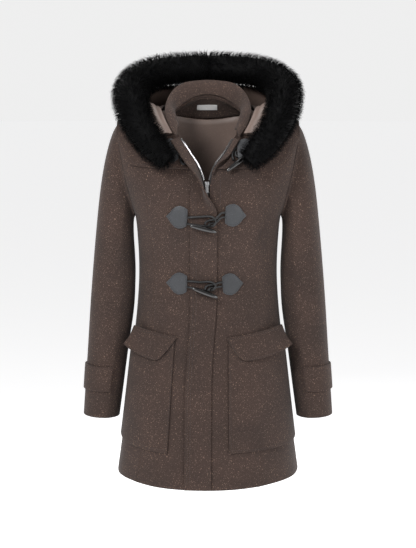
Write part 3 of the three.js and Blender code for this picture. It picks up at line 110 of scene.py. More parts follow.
def span(tree, value, limits):
    """Spreads what lies between two limits over 0 to 1."""
    node = add(tree, "ShaderNodeMapRange")
    for name, given in zip(("Value", "From Min", "From Max"), (value, *limits)):
        feed(tree, node.inputs[name], given)
    return node.outputs["Result"]


def mixed(tree, factor, first, second, blend="MIX"):
    node = add(tree, "ShaderNodeMix", data_type="RGBA", blend_type=blend)
    colours = [s for s in node.inputs if s.type == "RGBA"]
    for place, value in zip((node.inputs[0], *colours), (factor, first, second)):
        feed(tree, place, value)
    return [s for s in node.outputs if s.type == "RGBA"][0]


# %% The mottle group
YARN_DETAIL = 3.0
YARN_SPAN = (0.3, 0.7)
FLECK_SCALE = 520.0
FLECK_DETAIL = 1.0
FLECK_SPAN = (0.63, 0.72)
AREA_SCALE = 14.0
AREA_DETAIL = 2.0
AREA_SPAN = (0.2, 0.62)
AREA_SHARE = 0.35  # how strongly the slow change darkens the cloth
SOCKETS = [
    ("Vector", "INPUT", "Vector"), ("Yarn scale", "INPUT", "Float"), ("Dark", "INPUT", "Color"),
    ("Light", "INPUT", "Color"), ("Fleck", "INPUT", "Color"), ("Color", "OUTPUT", "Color"),
    ("Height", "OUTPUT", "Float"),
]


def mottle_group():
    group = bpy.data.node_groups.new("mottle", "ShaderNodeTree")
    for name, way, kind in SOCKETS:
        group.interface.new_socket(name=name, in_out=way, socket_type="NodeSocket" + kind)
    given = add(group, "NodeGroupInput").outputs
    result = add(group, "NodeGroupOutput").inputs
    yarn = noise(group, given["Vector"], given["Yarn scale"], YARN_DETAIL)
    area = noise(group, given["Vector"], AREA_SCALE, AREA_DETAIL)
    spots = noise(group, given["Vector"], FLECK_SCALE, FLECK_DETAIL)
    woven = mixed(group, span(group, yarn, YARN_SPAN), given["Dark"], given["Light"])
    flecked = mixed(group, span(group, spots, FLECK_SPAN), woven, given["Fleck"])
    grey = add(group, "ShaderNodeCombineColor")
    level = span(group, area, AREA_SPAN)
    for name in ("Red", "Green", "Blue"):
        feed(group, grey.inputs[name], level)
    shaded = mixed(group, AREA_SHARE, flecked, grey.outputs["Color"], "MULTIPLY")
    feed(group, result["Color"], shaded)
    feed(group, result["Height"], yarn)
    return group


MOTTLE = mottle_group()
print("mottle nodes", len(MOTTLE.nodes))

# %% The materials
BUMP_STRENGTH = 0.8
SHEEN_ROUGHNESS = 0.5
COAT_ROUGHNESS = 0.12
USUAL_SPECULAR = 0.5


def finish(name, dark, light, fleck, roughness, yarn_scale, bump,
           sheen=0.0, coat=0.0, metallic=0.0, specular=USUAL_SPECULAR):
    """A material whose colour and relief come from the mottle group."""
    material = bpy.data.materials.new(name)
    material.use_nodes = True
    tree = material.node_tree
    mottle = add(tree, "ShaderNodeGroup", node_tree=MOTTLE)
    feed(tree, mottle.inputs["Vector"], add(tree, "ShaderNodeTexCoord").outputs["Object"])
    feed(tree, mottle.inputs["Yarn scale"], yarn_scale)
    for key, colour in (("Dark", dark), ("Light", light), ("Fleck", fleck)):
        feed(tree, mottle.inputs[key], (*colour, 1))
    relief = add(tree, "ShaderNodeBump")
    feed(tree, relief.inputs["Distance"], bump)
    feed(tree, relief.inputs["Strength"], BUMP_STRENGTH)
    feed(tree, relief.inputs["Height"], mottle.outputs["Height"])
    shader = tree.nodes["Principled BSDF"].inputs
    for key, value in (
        ("Base Color", mottle.outputs["Color"]), ("Normal", relief.outputs["Normal"]),
        ("Roughness", roughness), ("Metallic", metallic), ("Specular IOR Level", specular),
        ("Sheen Weight", sheen), ("Sheen Roughness", SHEEN_ROUGHNESS),
        ("Coat Weight", coat), ("Coat Roughness", COAT_ROUGHNESS),
    ):
        feed(tree, shader[key], value)
    return material


# Columns: name, dark, light and fleck colour, roughness, scale of the yarn, bump in metres.
WOOL = finish("wool", (0.012, 0.006, 0.0044), (0.057, 0.032, 0.0235), (0.18, 0.115, 0.085),
              0.95, 1100.0, 0.0005, sheen=0.04)
LINING = finish("lining", (0.135, 0.093, 0.076), (0.20, 0.142, 0.118), (0.22, 0.16, 0.134),
                0.5, 1500.0, 0.0001, sheen=0.05)
LEATHER = finish("leather", (0.022, 0.0235, 0.027), (0.040, 0.042, 0.047), (0.05, 0.053, 0.059),
                 0.5, 1300.0, 0.00015)
CORD = finish("cord", (0.002, 0.002, 0.002), (0.007, 0.007, 0.008), (0.010, 0.010, 0.011),
              0.5, 2500.0, 0.0001)
TAPE = finish("tape", (0.008, 0.008, 0.009), (0.02, 0.02, 0.022), (0.03, 0.03, 0.033),
              0.8, 2200.0, 0.0001)
FUR = finish("fur", (0.0010, 0.0010, 0.0011), (0.0030, 0.0030, 0.0033), (0.008, 0.0083, 0.009),
             0.6, 160.0, 0.0001, specular=0.06)
TOGGLE = finish("toggle", (0.002, 0.002, 0.002), (0.006, 0.005, 0.005), (0.010, 0.008, 0.008),
                0.12, 60.0, 0.00002, coat=0.8)
THREAD = finish("thread", (0.020, 0.014, 0.012), (0.045, 0.033, 0.028), (0.06, 0.045, 0.04),
                0.6, 3000.0, 0.00003)
LABEL = finish("label", (0.62, 0.61, 0.60), (0.78, 0.77, 0.76), (0.8, 0.8, 0.8),
               0.6, 1800.0, 0.00005)
METAL = finish("zip_metal", (0.42, 0.42, 0.43), (0.60, 0.60, 0.61), (0.7, 0.7, 0.7),
               0.28, 400.0, 0.00002, metallic=0.95)
print("materials", len(bpy.data.materials))

# %% [markdown]
# ## Creases
# Worn wool keeps a few soft troughs: across the elbows, under the arms, at the waist and down the
# skirt. Each row is one trough, seen from the front or from the back, from one end to the other.

# %% The troughs
# Columns: face (-1 front, 1 back), x and z of both ends, depth, half width, in millimetres.
CREASES = [
    (-1, -236, -330, -170, -362, 3.0, 11),
    (-1, -244, -372, -178, -388, 3.6, 10),
    (-1, -190, -404, -243, -432, 2.4, 9),
    (-1, -248, -520, -186, -545, 2.0, 12),
    (-1, -222, -186, -176, -236, 2.6, 12),
    (-1, 238, -322, 172, -357, 3.2, 11),
    (-1, 245, -366, 184, -391, 3.4, 10),
    (-1, 193, -412, 246, -440, 2.2, 10),
    (-1, 250, -540, 190, -560, 2.2, 12),
    (-1, 220, -180, 180, -240, 2.2, 13),
    (-1, -146, -250, -96, -205, 2.6, 13),
    (-1, 146, -248, 100, -200, 2.4, 12),
    (-1, -150, -392, -100, -376, 2.2, 11),
    (-1, 152, -388, 108, -372, 2.0, 11),
    (-1, -118, -560, -110, -700, 1.4, 18),
    (-1, 118, -560, 128, -720, 1.4, 18),
    (1, -238, -345, -170, -372, 3.4, 12),
    (1, -180, -410, -244, -424, 2.4, 10),
    (1, 240, -340, 174, -366, 3.0, 11),
    (1, 182, -404, 246, -428, 2.8, 11),
    (1, -150, -262, -90, -300, 2.6, 14),
    (1, 150, -258, 84, -292, 2.8, 15),
    (1, -130, -398, -40, -408, 2.8, 12),
    (1, 126, -402, 52, -390, 2.4, 12),
    (1, -70, -440, -82, -640, 1.8, 20),
    (1, 72, -450, 90, -690, 2.0, 22),
    (1, 10, -520, 14, -760, 1.4, 20),
    # The princess seams pull the cloth in a little.
    (-1, -123, -150, -119, -262, 1.2, 3.5),
    (-1, -119, -262, -105, -348, 1.2, 3.5),
    (-1, -105, -348, -110, -480, 1.2, 3.5),
    (-1, -130, -722, -142, -790, 1.2, 3.5),
    (-1, 121, -150, 112, -248, 1.2, 3.5),
    (-1, 112, -248, 98, -335, 1.2, 3.5),
    (-1, 98, -335, 95, -480, 1.2, 3.5),
    (-1, 101, -722, 106, -790, 1.2, 3.5),
]
SIDE_FADE = 30.0  # millimetres either side of the coat's side line over which a trough fades
MIDDLE_HOLD = 1.25  # a trough has its full depth in the middle and a quarter of it at its ends


def creased(points):
    """Moves points, in metres, into the troughs."""
    mm = points / MM
    move = np.zeros(len(mm))
    for face, x0, z0, x1, z1, depth, half in CREASES:
        start = np.array([x0, z0], float)
        run = np.array([x1 - x0, z1 - z0], float)
        along = np.clip(((mm[:, [0, 2]] - start) @ run) / (run @ run), 0, 1)
        away = np.linalg.norm(mm[:, [0, 2]] - start - along[:, None] * run, axis=1)
        ends = np.clip(MIDDLE_HOLD - np.abs(2 * along - 1), 0, 1)
        side = np.clip(face * mm[:, 1] / SIDE_FADE, 0, 1)
        move -= face * depth * ends * side * np.exp(-((away / half) ** 2))
    moved = points.copy()
    moved[:, 1] += move * MM
    return moved


print("troughs", len(CREASES))

# %% [markdown]
# ## Helpers for meshes
# Blender hands over a mesh's points as one long list, and NumPy moves them all at once. Thin round
# things, such as a cord or a stitch, are rings of points joined to a tube, so they share a helper.


# %% Points, tubes and pieces
def coordinates(mesh, kind="co"):
    values = np.empty(len(mesh.vertices) * 3)
    mesh.vertices.foreach_get(kind, values)
    return values.reshape(-1, 3)


def move_to(mesh, points):
    mesh.vertices.foreach_set("co", points.ravel())
    mesh.update()


def unit(vectors):
    """The same directions, each with a length of one."""
    return vectors / np.linalg.norm(vectors, axis=-1, keepdims=True)


def travelled(points):
    """How far along a line of points each of them lies."""
    return np.concatenate([[0], np.cumsum(np.linalg.norm(np.diff(points, axis=0), axis=1))])


def around(first, second, k, sides):
    """Direction k of those that lie evenly round a tube, from two that cross."""
    turn = 2 * math.pi * k / sides
    return math.cos(turn) * first + math.sin(turn) * second


def tube_faces(rings, sides, base=0):
    """Faces between rings of points, with a cap on each end."""
    faces = []
    for ring in range(rings - 1):
        a, b = base + ring * sides, base + (ring + 1) * sides
        for k in range(sides):
            n = (k + 1) % sides
            faces.append((a + k, a + n, b + n, b + k))
    faces.append(tuple(base + k for k in range(sides))[::-1])
    faces.append(tuple(base + (rings - 1) * sides + k for k in range(sides)))
    return faces


def closed_mesh(name, verts, faces):
    """A mesh of closed shapes whose faces point outwards."""
    mesh = bpy.data.meshes.new(name)
    mesh.from_pydata([tuple(v) for v in verts], [], faces)
    shape = bmesh.new()
    shape.from_mesh(mesh)
    bmesh.ops.recalc_face_normals(shape, faces=shape.faces)
    shape.to_mesh(mesh)
    shape.free()
    return mesh


def placed(piece, material, node=None, body="coat"):
    """Gives a piece its material, its body and the node that it stands for."""
    piece.data.materials.clear()
    piece.data.materials.append(material)
    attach(piece, body)
    if node:
        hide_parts(node)
    return piece


def new_piece(name, mesh, material, node=None):
    piece = bpy.data.objects.new(name, mesh)
    bpy.context.scene.collection.objects.link(piece)
    return placed(piece, material, node)


# %% [markdown]
# ## Cloth pieces
# A cut piece of wool has thick, rounded edges and no flat facets. Each solid is copied, its
# triangles are joined to quads, its cut edges are creased so that the smoothing keeps them, and
# the edges are rounded last, as pressing and turning the cloth does.

# %% Softening a solid
MERGE_DISTANCE = 1e-5  # metres
JOIN_BEND = 0.7  # radians between two triangles that are joined to a quad
JOIN_SKEW = 3.1
SHARP = math.radians(50)
EDGE_ROUND = 0.0013  # metres
ROUND_SEGMENTS = 2
ROUND_FROM = math.radians(55)
SHADE_FROM = math.radians(42)
CREASE_LAYER = "crease_edge"
SEAM_CLOSE = 0.00022  # closes the gap that parts two sewn pieces in the solids


def modified(piece, kind, **values):
    modifier = piece.modifiers.new(kind.lower(), kind)
    for key, value in values.items():
        setattr(modifier, key, value)
    bpy.ops.object.modifier_apply(modifier=modifier.name)


def softened(node, name, levels=2, rounding=EDGE_ROUND, fold=True, grow=0.0):
    """A copy of a node's solid with a smooth surface, rounded edges and its troughs."""
    mesh = nodes[node].data.copy()
    mesh.name = name
    shape = bmesh.new()
    shape.from_mesh(mesh)
    bmesh.ops.remove_doubles(shape, verts=shape.verts, dist=MERGE_DISTANCE)
    bmesh.ops.join_triangles(shape, faces=shape.faces, angle_face_threshold=JOIN_BEND,
                             angle_shape_threshold=JOIN_SKEW)
    layer = shape.edges.layers.float.new(CREASE_LAYER)
    for edge in shape.edges:
        if len(edge.link_faces) == 2 and edge.calc_face_angle(0) > SHARP:
            edge[layer] = 1.0
    shape.to_mesh(mesh)
    shape.free()
    piece = bpy.data.objects.new(name, mesh)
    bpy.context.scene.collection.objects.link(piece)
    bpy.ops.object.select_all(action="DESELECT")
    piece.select_set(True)
    bpy.context.view_layer.objects.active = piece
    if levels:
        modified(piece, "SUBSURF", levels=levels, render_levels=levels)
    if rounding:
        modified(piece, "BEVEL", width=rounding, segments=ROUND_SEGMENTS, limit_method="ANGLE",
                 angle_limit=ROUND_FROM)
    if grow:
        points = coordinates(piece.data)
        move_to(piece.data, points + coordinates(piece.data, "normal") * grow)
    if fold:
        move_to(piece.data, creased(coordinates(piece.data)))
    bpy.ops.object.shade_smooth_by_angle(angle=SHADE_FROM)
    return piece


def dress(node, material, slot, body="coat", **options):
    return placed(softened(node, node + "_cloth", **options), material, node, body)


# %% The cut pieces
# Columns: node, width and length of the cut in metres, its flat area in square metres.
WOOL_CUTS = [
    ("front_side_right", 0.16, 0.66, 0.070),
    ("front_side_left", 0.17, 0.66, 0.083),
    ("front_right", 0.17, 0.72, 0.092),
    ("front_left", 0.17, 0.72, 0.090),
    ("back_right", 0.30, 0.82, 0.177),
    ("back_left", 0.30, 0.82, 0.177),
    ("sleeve_upper_right", 0.24, 0.63, 0.106),
    ("sleeve_upper_left", 0.24, 0.63, 0.106),
    ("sleeve_under_right", 0.13, 0.50, 0.053),
    ("sleeve_under_left", 0.13, 0.50, 0.053),
    ("cuff_tab_right", 0.055, 0.175, 0.0094),
    ("cuff_tab_left", 0.055, 0.175, 0.0094),
    ("collar", 0.045, 0.37, 0.0145),
    ("placket", 0.07, 0.72, 0.0396),
    ("front_band_left", 0.02, 0.075, 0.0013),
    ("yoke_right", 0.16, 0.13, 0.0181),
    ("yoke_left", 0.17, 0.13, 0.0194),
    ("pocket_right", 0.18, 0.24, 0.0373),
    ("pocket_left", 0.20, 0.25, 0.0454),
    ("pocket_flap_right", 0.15, 0.045, 0.0057),
    ("pocket_flap_left", 0.165, 0.05, 0.0072),
    ("hood_right", 0.30, 0.28, 0.0637),
    ("hood_left", 0.30, 0.28, 0.0634),
    ("neck_facing", 0.20, 0.09, 0.0153),
]
LINING_CUTS = [
    ("lining_back", 0.46, 0.62, 0.253),
    ("hood_lining", 0.38, 0.40, 0.112),
]
cloth_pieces = {}
for node, width, length, area in WOOL_CUTS:
    cloth_pieces[node] = dress(node, WOOL, "wool", grow=SEAM_CLOSE)
for node, width, length, area in LINING_CUTS:
    cloth_pieces[node] = dress(node, LINING, "lining", rounding=0)
cloth_pieces["label"] = dress("label", LABEL, "label", rounding=0, fold=False)
print("cut pieces", len(cloth_pieces))

# %% The patches and the zip's tapes
ROWS = ("top", "middle", "lower")
PATCH_ROUND = 0.0005  # metres
# How far a patch reaches against its solid, by the turn from its point, in degrees.
POINT_TURNS = (0, 22, 48, 75, 100, 180)
POINT_SHARES = (1.10, 0.93, 0.90, 0.95, 1.0, 1.0)


def pointed(piece, facing):
    """Draws a patch's outline to its point, as the leather is cut."""
    points = coordinates(piece.data)
    middle = (points.min(0) + points.max(0)) / 2
    away = points - middle
    turn = np.degrees(np.abs(np.arctan2(away[:, 2], away[:, 0] * facing)))
    share = np.interp(turn, POINT_TURNS, POINT_SHARES)
    for axis in (0, 2):
        points[:, axis] = middle[axis] + away[:, axis] * share
    move_to(piece.data, points)


for side, facing in (("right", -1), ("left", 1)):
    tape = dress("zip_tape_" + side, TAPE, "tape", levels=1, rounding=0)
    for row in ROWS:
        node = f"patch_{row}_{side}"
        patch = dress(node, LEATHER, "leather", levels=0, rounding=PATCH_ROUND, fold=False)
        pointed(patch, facing)
        cloth_pieces[node] = patch
count = sum(len(p.data.polygons) for p in cloth_pieces.values())
print("cloth pieces", len(cloth_pieces), "faces", count)

# %% [markdown]
# ## Toggles
# The toggles are long horn-shaped buttons, polished to a high gloss. The solids have their shape,
# so they are only smoothed and given the gloss.

# %% The toggles
toggles = {row: dress("toggle_" + row, TOGGLE, "toggle", levels=1, rounding=0, fold=False)
           for row in ROWS}
print("toggles", len(toggles))

# %% [markdown]
# ## Cords
# Each fastening is a braided cord: a loop sewn under one patch, and two ends sewn under the other
# which hold the toggle. The tube's surface is raised in crossing diagonals, as a braid is.

# %% The routes
CORD_WIDTH = 4.4  # millimetres, as are the routes' points
# Each route runs from the patch outwards, through these points.
CORD_ROUTES = {
    "loop_top": [(-57.3, -92.8, -105.2), (-52.2, -95.8, -110.3), (-46.7, -100.8, -119.5),
                 (-44.2, -105.9, -129.6), (-49.2, -108.7, -135.7), (-54.2, -105.6, -129.6),
                 (-54.7, -101, -120.5), (-57.2, -97.2, -113.4)],
    "cord_top_upper": [(57.3, -92.2, -104.2), (53.3, -94.1, -107.3), (49.7, -98, -114.4),
                       (49.2, -104, -121.6), (51.3, -110, -127.5)],
    "cord_top_lower": [(57.2, -95.9, -110.8), (55.8, -97.7, -113.1), (55.3, -101.7, -117.5),
                       (57.8, -107, -121.8)],
    "loop_middle": [(-40.9, -129.8, -241), (-34.3, -134.7, -240.4), (-16.3, -136.6, -239.2),
                    (2, -137.9, -238.1), (11.3, -141.8, -240.6), (15.5, -141.7, -248.3),
                    (11.4, -141.5, -256), (3, -137.4, -257.8), (-16.4, -136.2, -256.7),
                    (-34.4, -134.3, -254.6), (-41, -129.2, -253.8)],
    "cord_middle_upper": [(33.8, -130.3, -231.3), (26.8, -132.5, -232.2), (14.3, -137.1, -243.9),
                          (3, -137.3, -246), (-4.1, -139.5, -249.3), (-6.2, -142.1, -253.9)],
    "cord_middle_lower": [(33.8, -130.7, -240.5), (26.9, -132.8, -240.9), (14.3, -136.7, -251.6),
                          (7.1, -137.8, -252.1), (3.1, -140.3, -253.1), (1, -142.4, -256.1)],
    "loop_lower": [(-42, -106.4, -372.6), (-35.3, -111.5, -372.3), (-16.3, -113.5, -373.8),
                   (2, -114.8, -372.9), (11.3, -118.6, -375.3), (15.5, -118.5, -381.6),
                   (11.3, -119, -388.1), (3, -115.3, -390.3), (-16.3, -113.9, -389.4),
                   (-35.3, -111.6, -385.1), (-42, -106.5, -384.8)],
    "cord_lower_upper": [(28.8, -108, -374.6), (21.8, -110, -375.6), (14.3, -113.8, -378),
                         (3, -114.1, -379.9), (-4.1, -116.3, -382.6), (-6.2, -119.6, -388.9)],
    "cord_lower_lower": [(28.8, -108, -383.4), (21.8, -110.1, -383.8), (14.3, -113.7, -384.8),
                         (7.1, -114.9, -385.1), (3.1, -117.5, -385.8), (1, -120.1, -390.8)],
}
print("cords", len(CORD_ROUTES))

# %% A smooth route
RING_STEP = 0.7  # millimetres
ROUTE_SAMPLES = 30  # between two points of a route
LEAST_RINGS = 8


def between(t, low, high, first, second):
    return (high - t) / (high - low) * first + (t - low) / (high - low) * second


def smooth_route(points):
    """Points of a centripetal Catmull-Rom curve through the route, evenly spaced."""
    p = [np.array(q, float) for q in points]
    p = [2 * p[0] - p[1]] + p + [2 * p[-1] - p[-2]]
    dense = []
    for p0, p1, p2, p3 in zip(p, p[1:], p[2:], p[3:]):
        t0 = 0.0
        t1 = t0 + np.linalg.norm(p1 - p0) ** 0.5
        t2 = t1 + np.linalg.norm(p2 - p1) ** 0.5
        t3 = t2 + np.linalg.norm(p3 - p2) ** 0.5
        for t in np.linspace(t1, t2, ROUTE_SAMPLES, endpoint=False):
            a1 = between(t, t0, t1, p0, p1)
            a2 = between(t, t1, t2, p1, p2)
            a3 = between(t, t2, t3, p2, p3)
            b1 = between(t, t0, t2, a1, a2)
            b2 = between(t, t1, t3, a2, a3)
            dense.append(between(t, t1, t2, b1, b2))
    dense = np.array([*dense, p[-2]])
    reach = travelled(dense)
    spots = np.linspace(0, reach[-1], max(int(reach[-1] / RING_STEP), LEAST_RINGS))
    return np.stack([np.interp(spots, reach, dense[:, c]) for c in range(3)], axis=1), reach[-1]


# %% The braided cords
BRAID_SIDES = 20
BRAID_TURN = 0.9  # radians a millimetre
BRAID_RELIEF = 0.10  # share of the radius
BRAID_START = (0.3, 0.2, 1.0)  # crosses every cord's first direction


def braided(name, points):
    centre, length = smooth_route(points)
    across = np.cross(np.gradient(centre, axis=0)[0], BRAID_START)
    verts = []
    spots = np.linspace(0, length, len(centre))
    for place, tangent, s in zip(centre, unit(np.gradient(centre, axis=0)), spots):
        across = unit(across - tangent * (across @ tangent))
        other = np.cross(tangent, across)
        for k in range(BRAID_SIDES):
            turn = 2 * math.pi * k / BRAID_SIDES
            strands = [abs(math.sin(2 * turn + way * BRAID_TURN * s)) for way in (1, -1)]
            radius = CORD_WIDTH / 2 * (1 - BRAID_RELIEF + BRAID_RELIEF * max(strands) ** 2)
            verts.append((place + radius * around(across, other, k, BRAID_SIDES)) * MM)
    mesh = closed_mesh(name, verts, tube_faces(len(centre), BRAID_SIDES))
    for polygon in mesh.polygons:
        polygon.use_smooth = len(polygon.vertices) == 4
    return mesh, centre * MM, length


for name, points in CORD_ROUTES.items():
    mesh, centre, length = braided(name + "_braid", points)
    piece = new_piece(name + "_braid", mesh, CORD, name)
    row = name.split("_")[1]
    print(name, "length mm", round(length, 1), "rings", len(centre))

# %% [markdown]
# ## Zip
# The open rows and the closed chain are made of single metal teeth clamped on the tapes. Their
# places come from the solid strips that stand for them.

# %% The line of a strip
STRIP_END = 0.001  # metres left free at each end
LEAST_CROSSINGS = 3


def strip_line(node, step):
    """Middle of a thin strip at even heights, from the edges that cross each height."""
    mesh = nodes[node].data
    points = coordinates(mesh)
    pairs = np.array([edge.vertices[:] for edge in mesh.edges])
    low, high = points[:, 2].min(), points[:, 2].max()
    line = []
    for z in np.arange(low + STRIP_END, high - STRIP_END, step * MM):
        a, b = points[pairs[:, 0]], points[pairs[:, 1]]
        crossing = (a[:, 2] - z) * (b[:, 2] - z) < 0
        a, b = a[crossing], b[crossing]
        if len(a) < LEAST_CROSSINGS:
            continue
        t = ((z - a[:, 2]) / (b[:, 2] - a[:, 2]))[:, None]
        cut = a + t * (b - a)
        line.append((cut.min(0) + cut.max(0)) / 2)
    return np.array(line)


# %% The teeth and the slider
TOOTH = (3.0, 1.1, 2.2)  # across the tape, along it and through it, in millimetres
TOOTH_STEP = 1.9
CHAIN_SHIFT = 1.0  # the closed chain's teeth come from the two sides in turn
FORWARD = np.array([0.0, -1.0, 0.0])
# A tooth's corners in halves of its size. Its outer face is smaller, as a cast tooth's is.
TOOTH_CORNERS = [(-1, -1, -1), (1, -1, -1), (1, 1, -1), (-1, 1, -1),
                 (-0.8, -0.7, 1), (0.8, -0.7, 1), (0.8, 0.7, 1), (-0.8, 0.7, 1)]
TOOTH_FACES = [(0, 3, 2, 1), (4, 5, 6, 7), (0, 1, 5, 4), (1, 2, 6, 5), (2, 3, 7, 6), (3, 0, 4, 7)]


def teeth(name, places, shift):
    """One tooth at each place, moved to one side and the other in turn by shift."""
    verts, faces = [], []
    for k, (place, tangent) in enumerate(zip(places, unit(np.gradient(places, axis=0)))):
        out = unit(FORWARD - tangent * (FORWARD @ tangent))
        side = np.cross(tangent, out)
        centre = place + side * (shift * MM * (1 if k % 2 else -1))
        base = len(verts)
        for corner in TOOTH_CORNERS:
            ways = zip((side, tangent, out), corner, TOOTH)
            verts.append(centre + sum(way * c * size / 2 for way, c, size in ways) * MM)
        faces += [tuple(base + c for c in face) for face in TOOTH_FACES]
    return closed_mesh(name, verts, faces)


for node, step, shift in (("zip_teeth_right", TOOTH_STEP, 0.0), ("zip_teeth_left", TOOTH_STEP, 0.0),
                          ("zip_chain", TOOTH_STEP / 2, CHAIN_SHIFT)):
    line = strip_line(node, step)
    new_piece(node + "_metal", teeth(node + "_metal", line, shift), METAL, node)
    print(node, "teeth", len(line))
for node, body in (("zip_slider", "coat"), ("zip_bail", "coat"), ("zip_pull", "zip_pull")):
    dress(node, METAL, "zip_metal", body, levels=1, rounding=0, fold=False)

# %% [markdown]
# ## Fur
# The trim is a strip of long black pile. A slightly slimmer core stands in for its backing, and
# more than ten thousand curved, tapering hairs grow from each half of it, combed outwards, forwards
# and down.

# %% The core
CORE_SINK = 0.0005  # metres
MEETING = 0.004  # the two halves meet within this distance of the middle of the back


def fur_core(node, name):
    piece = softened(node, name, levels=1, rounding=0, fold=False)
    points = coordinates(piece.data)
    sunk = points - coordinates(piece.data, "normal") * CORE_SINK
    # The ends at the middle of the back keep their place, so no gap opens between the halves.
    middle = np.abs(points[:, 0]) < MEETING
    sunk[middle, 0] = points[middle, 0]
    move_to(piece.data, sunk)
    return piece


# %% The hairs
HAIRS = 10500  # on each half
HAIR_LENGTH = 0.0165  # metres
HAIR_SPREAD = (0.65, 1.15)  # shares of that length
HAIR_RADIUS = 0.00036
HAIR_SIDES = 3
HAIR_RINGS = 3
HAIR_POINTS = HAIR_RINGS * HAIR_SIDES + 1
HAIR_START = (0.31, 0.52, 0.79)  # crosses the hairs
COMB = (0.35, -0.1, -0.45)  # outwards, forwards and down
STRAY = 0.28
# Columns: axes, radians a metre and size of a wave that gathers the hairs in clumps.
CLUMPS = [([1, 2, 0], 210, 0.28), ([2, 0, 1], 95, 0.2)]
# Columns: rise off the core, lean with the comb, share of the hair's length.
HAIR_MIDDLE = (0.55, 0.25, 0.8)
HAIR_TIP = (0.72, 0.75, 1.0)
HAIR_TAPER = (1.0, 0.95, 0.7)


def surface_spots(mesh, number):
    """Random places all over a mesh, with the surface's direction at each."""
    mesh.calc_loop_triangles()
    triangles = np.empty(len(mesh.loop_triangles) * 3, int)
    mesh.loop_triangles.foreach_get("vertices", triangles)
    corners = coordinates(mesh)[triangles.reshape(-1, 3)]
    first, second = corners[:, 1] - corners[:, 0], corners[:, 2] - corners[:, 0]
    cross = np.cross(first, second)
    size = np.linalg.norm(cross, axis=1)
    pick = rng.choice(len(size), number, p=size / size.sum())
    u, v = rng.random(number), rng.random(number)
    flip = u + v > 1
    u[flip], v[flip] = 1 - u[flip], 1 - v[flip]
    spots = corners[pick, 0] + u[:, None] * first[pick] + v[:, None] * second[pick]
    return spots, cross[pick] / size[pick][:, None]


def hair_pattern():
    """The triangles of one hair: the root's cap, the sides and the tip."""
    pattern = [(2, 1, 0)]
    for a in range(0, (HAIR_RINGS - 1) * HAIR_SIDES, HAIR_SIDES):
        b = a + HAIR_SIDES
        for k in range(HAIR_SIDES):
            n = (k + 1) % HAIR_SIDES
            pattern += [(a + k, a + n, b + n), (a + k, b + n, b + k)]
    last = (HAIR_RINGS - 1) * HAIR_SIDES
    pattern += [(last + k, last + (k + 1) % HAIR_SIDES, HAIR_POINTS - 1) for k in range(HAIR_SIDES)]
    return np.array(pattern)


def hairs(mesh, side):
    roots, normals = surface_spots(mesh, HAIRS)
    clump = sum(np.sin(roots[:, axes] * wave) * size for axes, wave, size in CLUMPS)
    comb = np.array([COMB[0] * side, *COMB[1:]]) + clump + rng.normal(0, STRAY, (HAIRS, 3))
    comb -= normals * (comb * normals).sum(1)[:, None]
    length = HAIR_LENGTH * rng.uniform(*HAIR_SPREAD, HAIRS)[:, None]
    middle, tip = (roots + (normals * rise + comb * lean) * length * share
                   for rise, lean, share in (HAIR_MIDDLE, HAIR_TIP))
    along = unit(tip - roots)
    across = unit(np.cross(along, HAIR_START))
    other = np.cross(along, across)
    verts = np.empty((HAIRS, HAIR_POINTS, 3))
    for ring, place in enumerate((roots, (roots + middle) / 2, middle)):
        for k in range(HAIR_SIDES):
            offset = around(across, other, k, HAIR_SIDES)
            verts[:, ring * HAIR_SIDES + k] = place + offset * HAIR_RADIUS * HAIR_TAPER[ring]
    verts[:, -1] = tip
    faces = np.arange(HAIRS)[:, None, None] * HAIR_POINTS + hair_pattern()
    return verts.reshape(-1, 3), faces.reshape(-1, 3)


# %% The two halves
for side, word in ((-1, "right"), (1, "left")):
    node = "fur_" + word
    core = fur_core(node, node + "_pile")
    verts, faces = hairs(core.data, side)
    every = [tuple(p) for p in coordinates(core.data)]
    every_face = [tuple(p.vertices) for p in core.data.polygons]
    every_face += [tuple(f) for f in faces + len(every)]
    every += [tuple(p) for p in verts]
    mesh = bpy.data.meshes.new(node + "_hair")
    mesh.from_pydata(every, [], every_face)
    mesh.polygons.foreach_set("use_smooth", [True] * len(mesh.polygons))
    bpy.data.objects.remove(core)
    piece = new_piece(node + "_hair", mesh, FUR, node)
    print(node, "hairs", HAIRS, "faces", len(mesh.polygons))

# %% [markdown]
# ## Topstitching
# The seams' edges are sewn down with a row of stitches in matching thread. A line is drawn on the
# front in x and z, and each stitch is set where a ray from the front meets the cloth.

# %% The lines to sew
def mirrored(points):
    return [(-x, z) for x, z in points]


YOKE_LINE = [(171, -78), (167, -104), (160, -124), (151, -133), (136, -137), (100, -140),
             (60, -142)]
FLAP_RIGHT = [(-152, -477), (-64, -491), (-64, -492), (-97, -537), (-165, -517)]
FLAP_LEFT = [(156, -475), (41, -492), (66, -536), (171, -516)]
POCKET_RIGHT = [(-72, -545), (-87, -716), (-120, -716), (-165, -704)]
POCKET_LEFT = [(46, -545), (47, -716), (100, -717), (165, -710)]
PLACKET_OUTER = [(-30, -205), (-30, -440), (-36, -508), (-42, -610), (-43, -788)]
PLACKET_INNER = [(-24, -205), (-24, -440), (-30, -508), (-36, -610), (-37, -788)]
LEFT_EDGE = [(25, -165), (25, -230)]
STITCH_LINES = [YOKE_LINE, mirrored(YOKE_LINE), FLAP_RIGHT, FLAP_LEFT, POCKET_RIGHT, POCKET_LEFT,
                PLACKET_OUTER, PLACKET_INNER, LEFT_EDGE]
# Columns: x and z of a patch's middle and the way that its point faces.
PATCH_SPOTS = [(-76, -112, -1), (-58, -241, -1), (-59, -378, -1), (76, -112, 1), (51, -237, 1),
               (46, -379, 1)]
# Columns: turn from the point in degrees and reach from the middle in millimetres.
PATCH_OUTLINE = [(0, 24), (25, 21.5), (55, 22), (85, 23), (112, 23), (132, 23.5), (150, 19),
                 (180, 17)]
PATCH_INSET = 3.4
PATCH_TURN = 12  # degrees between two points of a patch's line


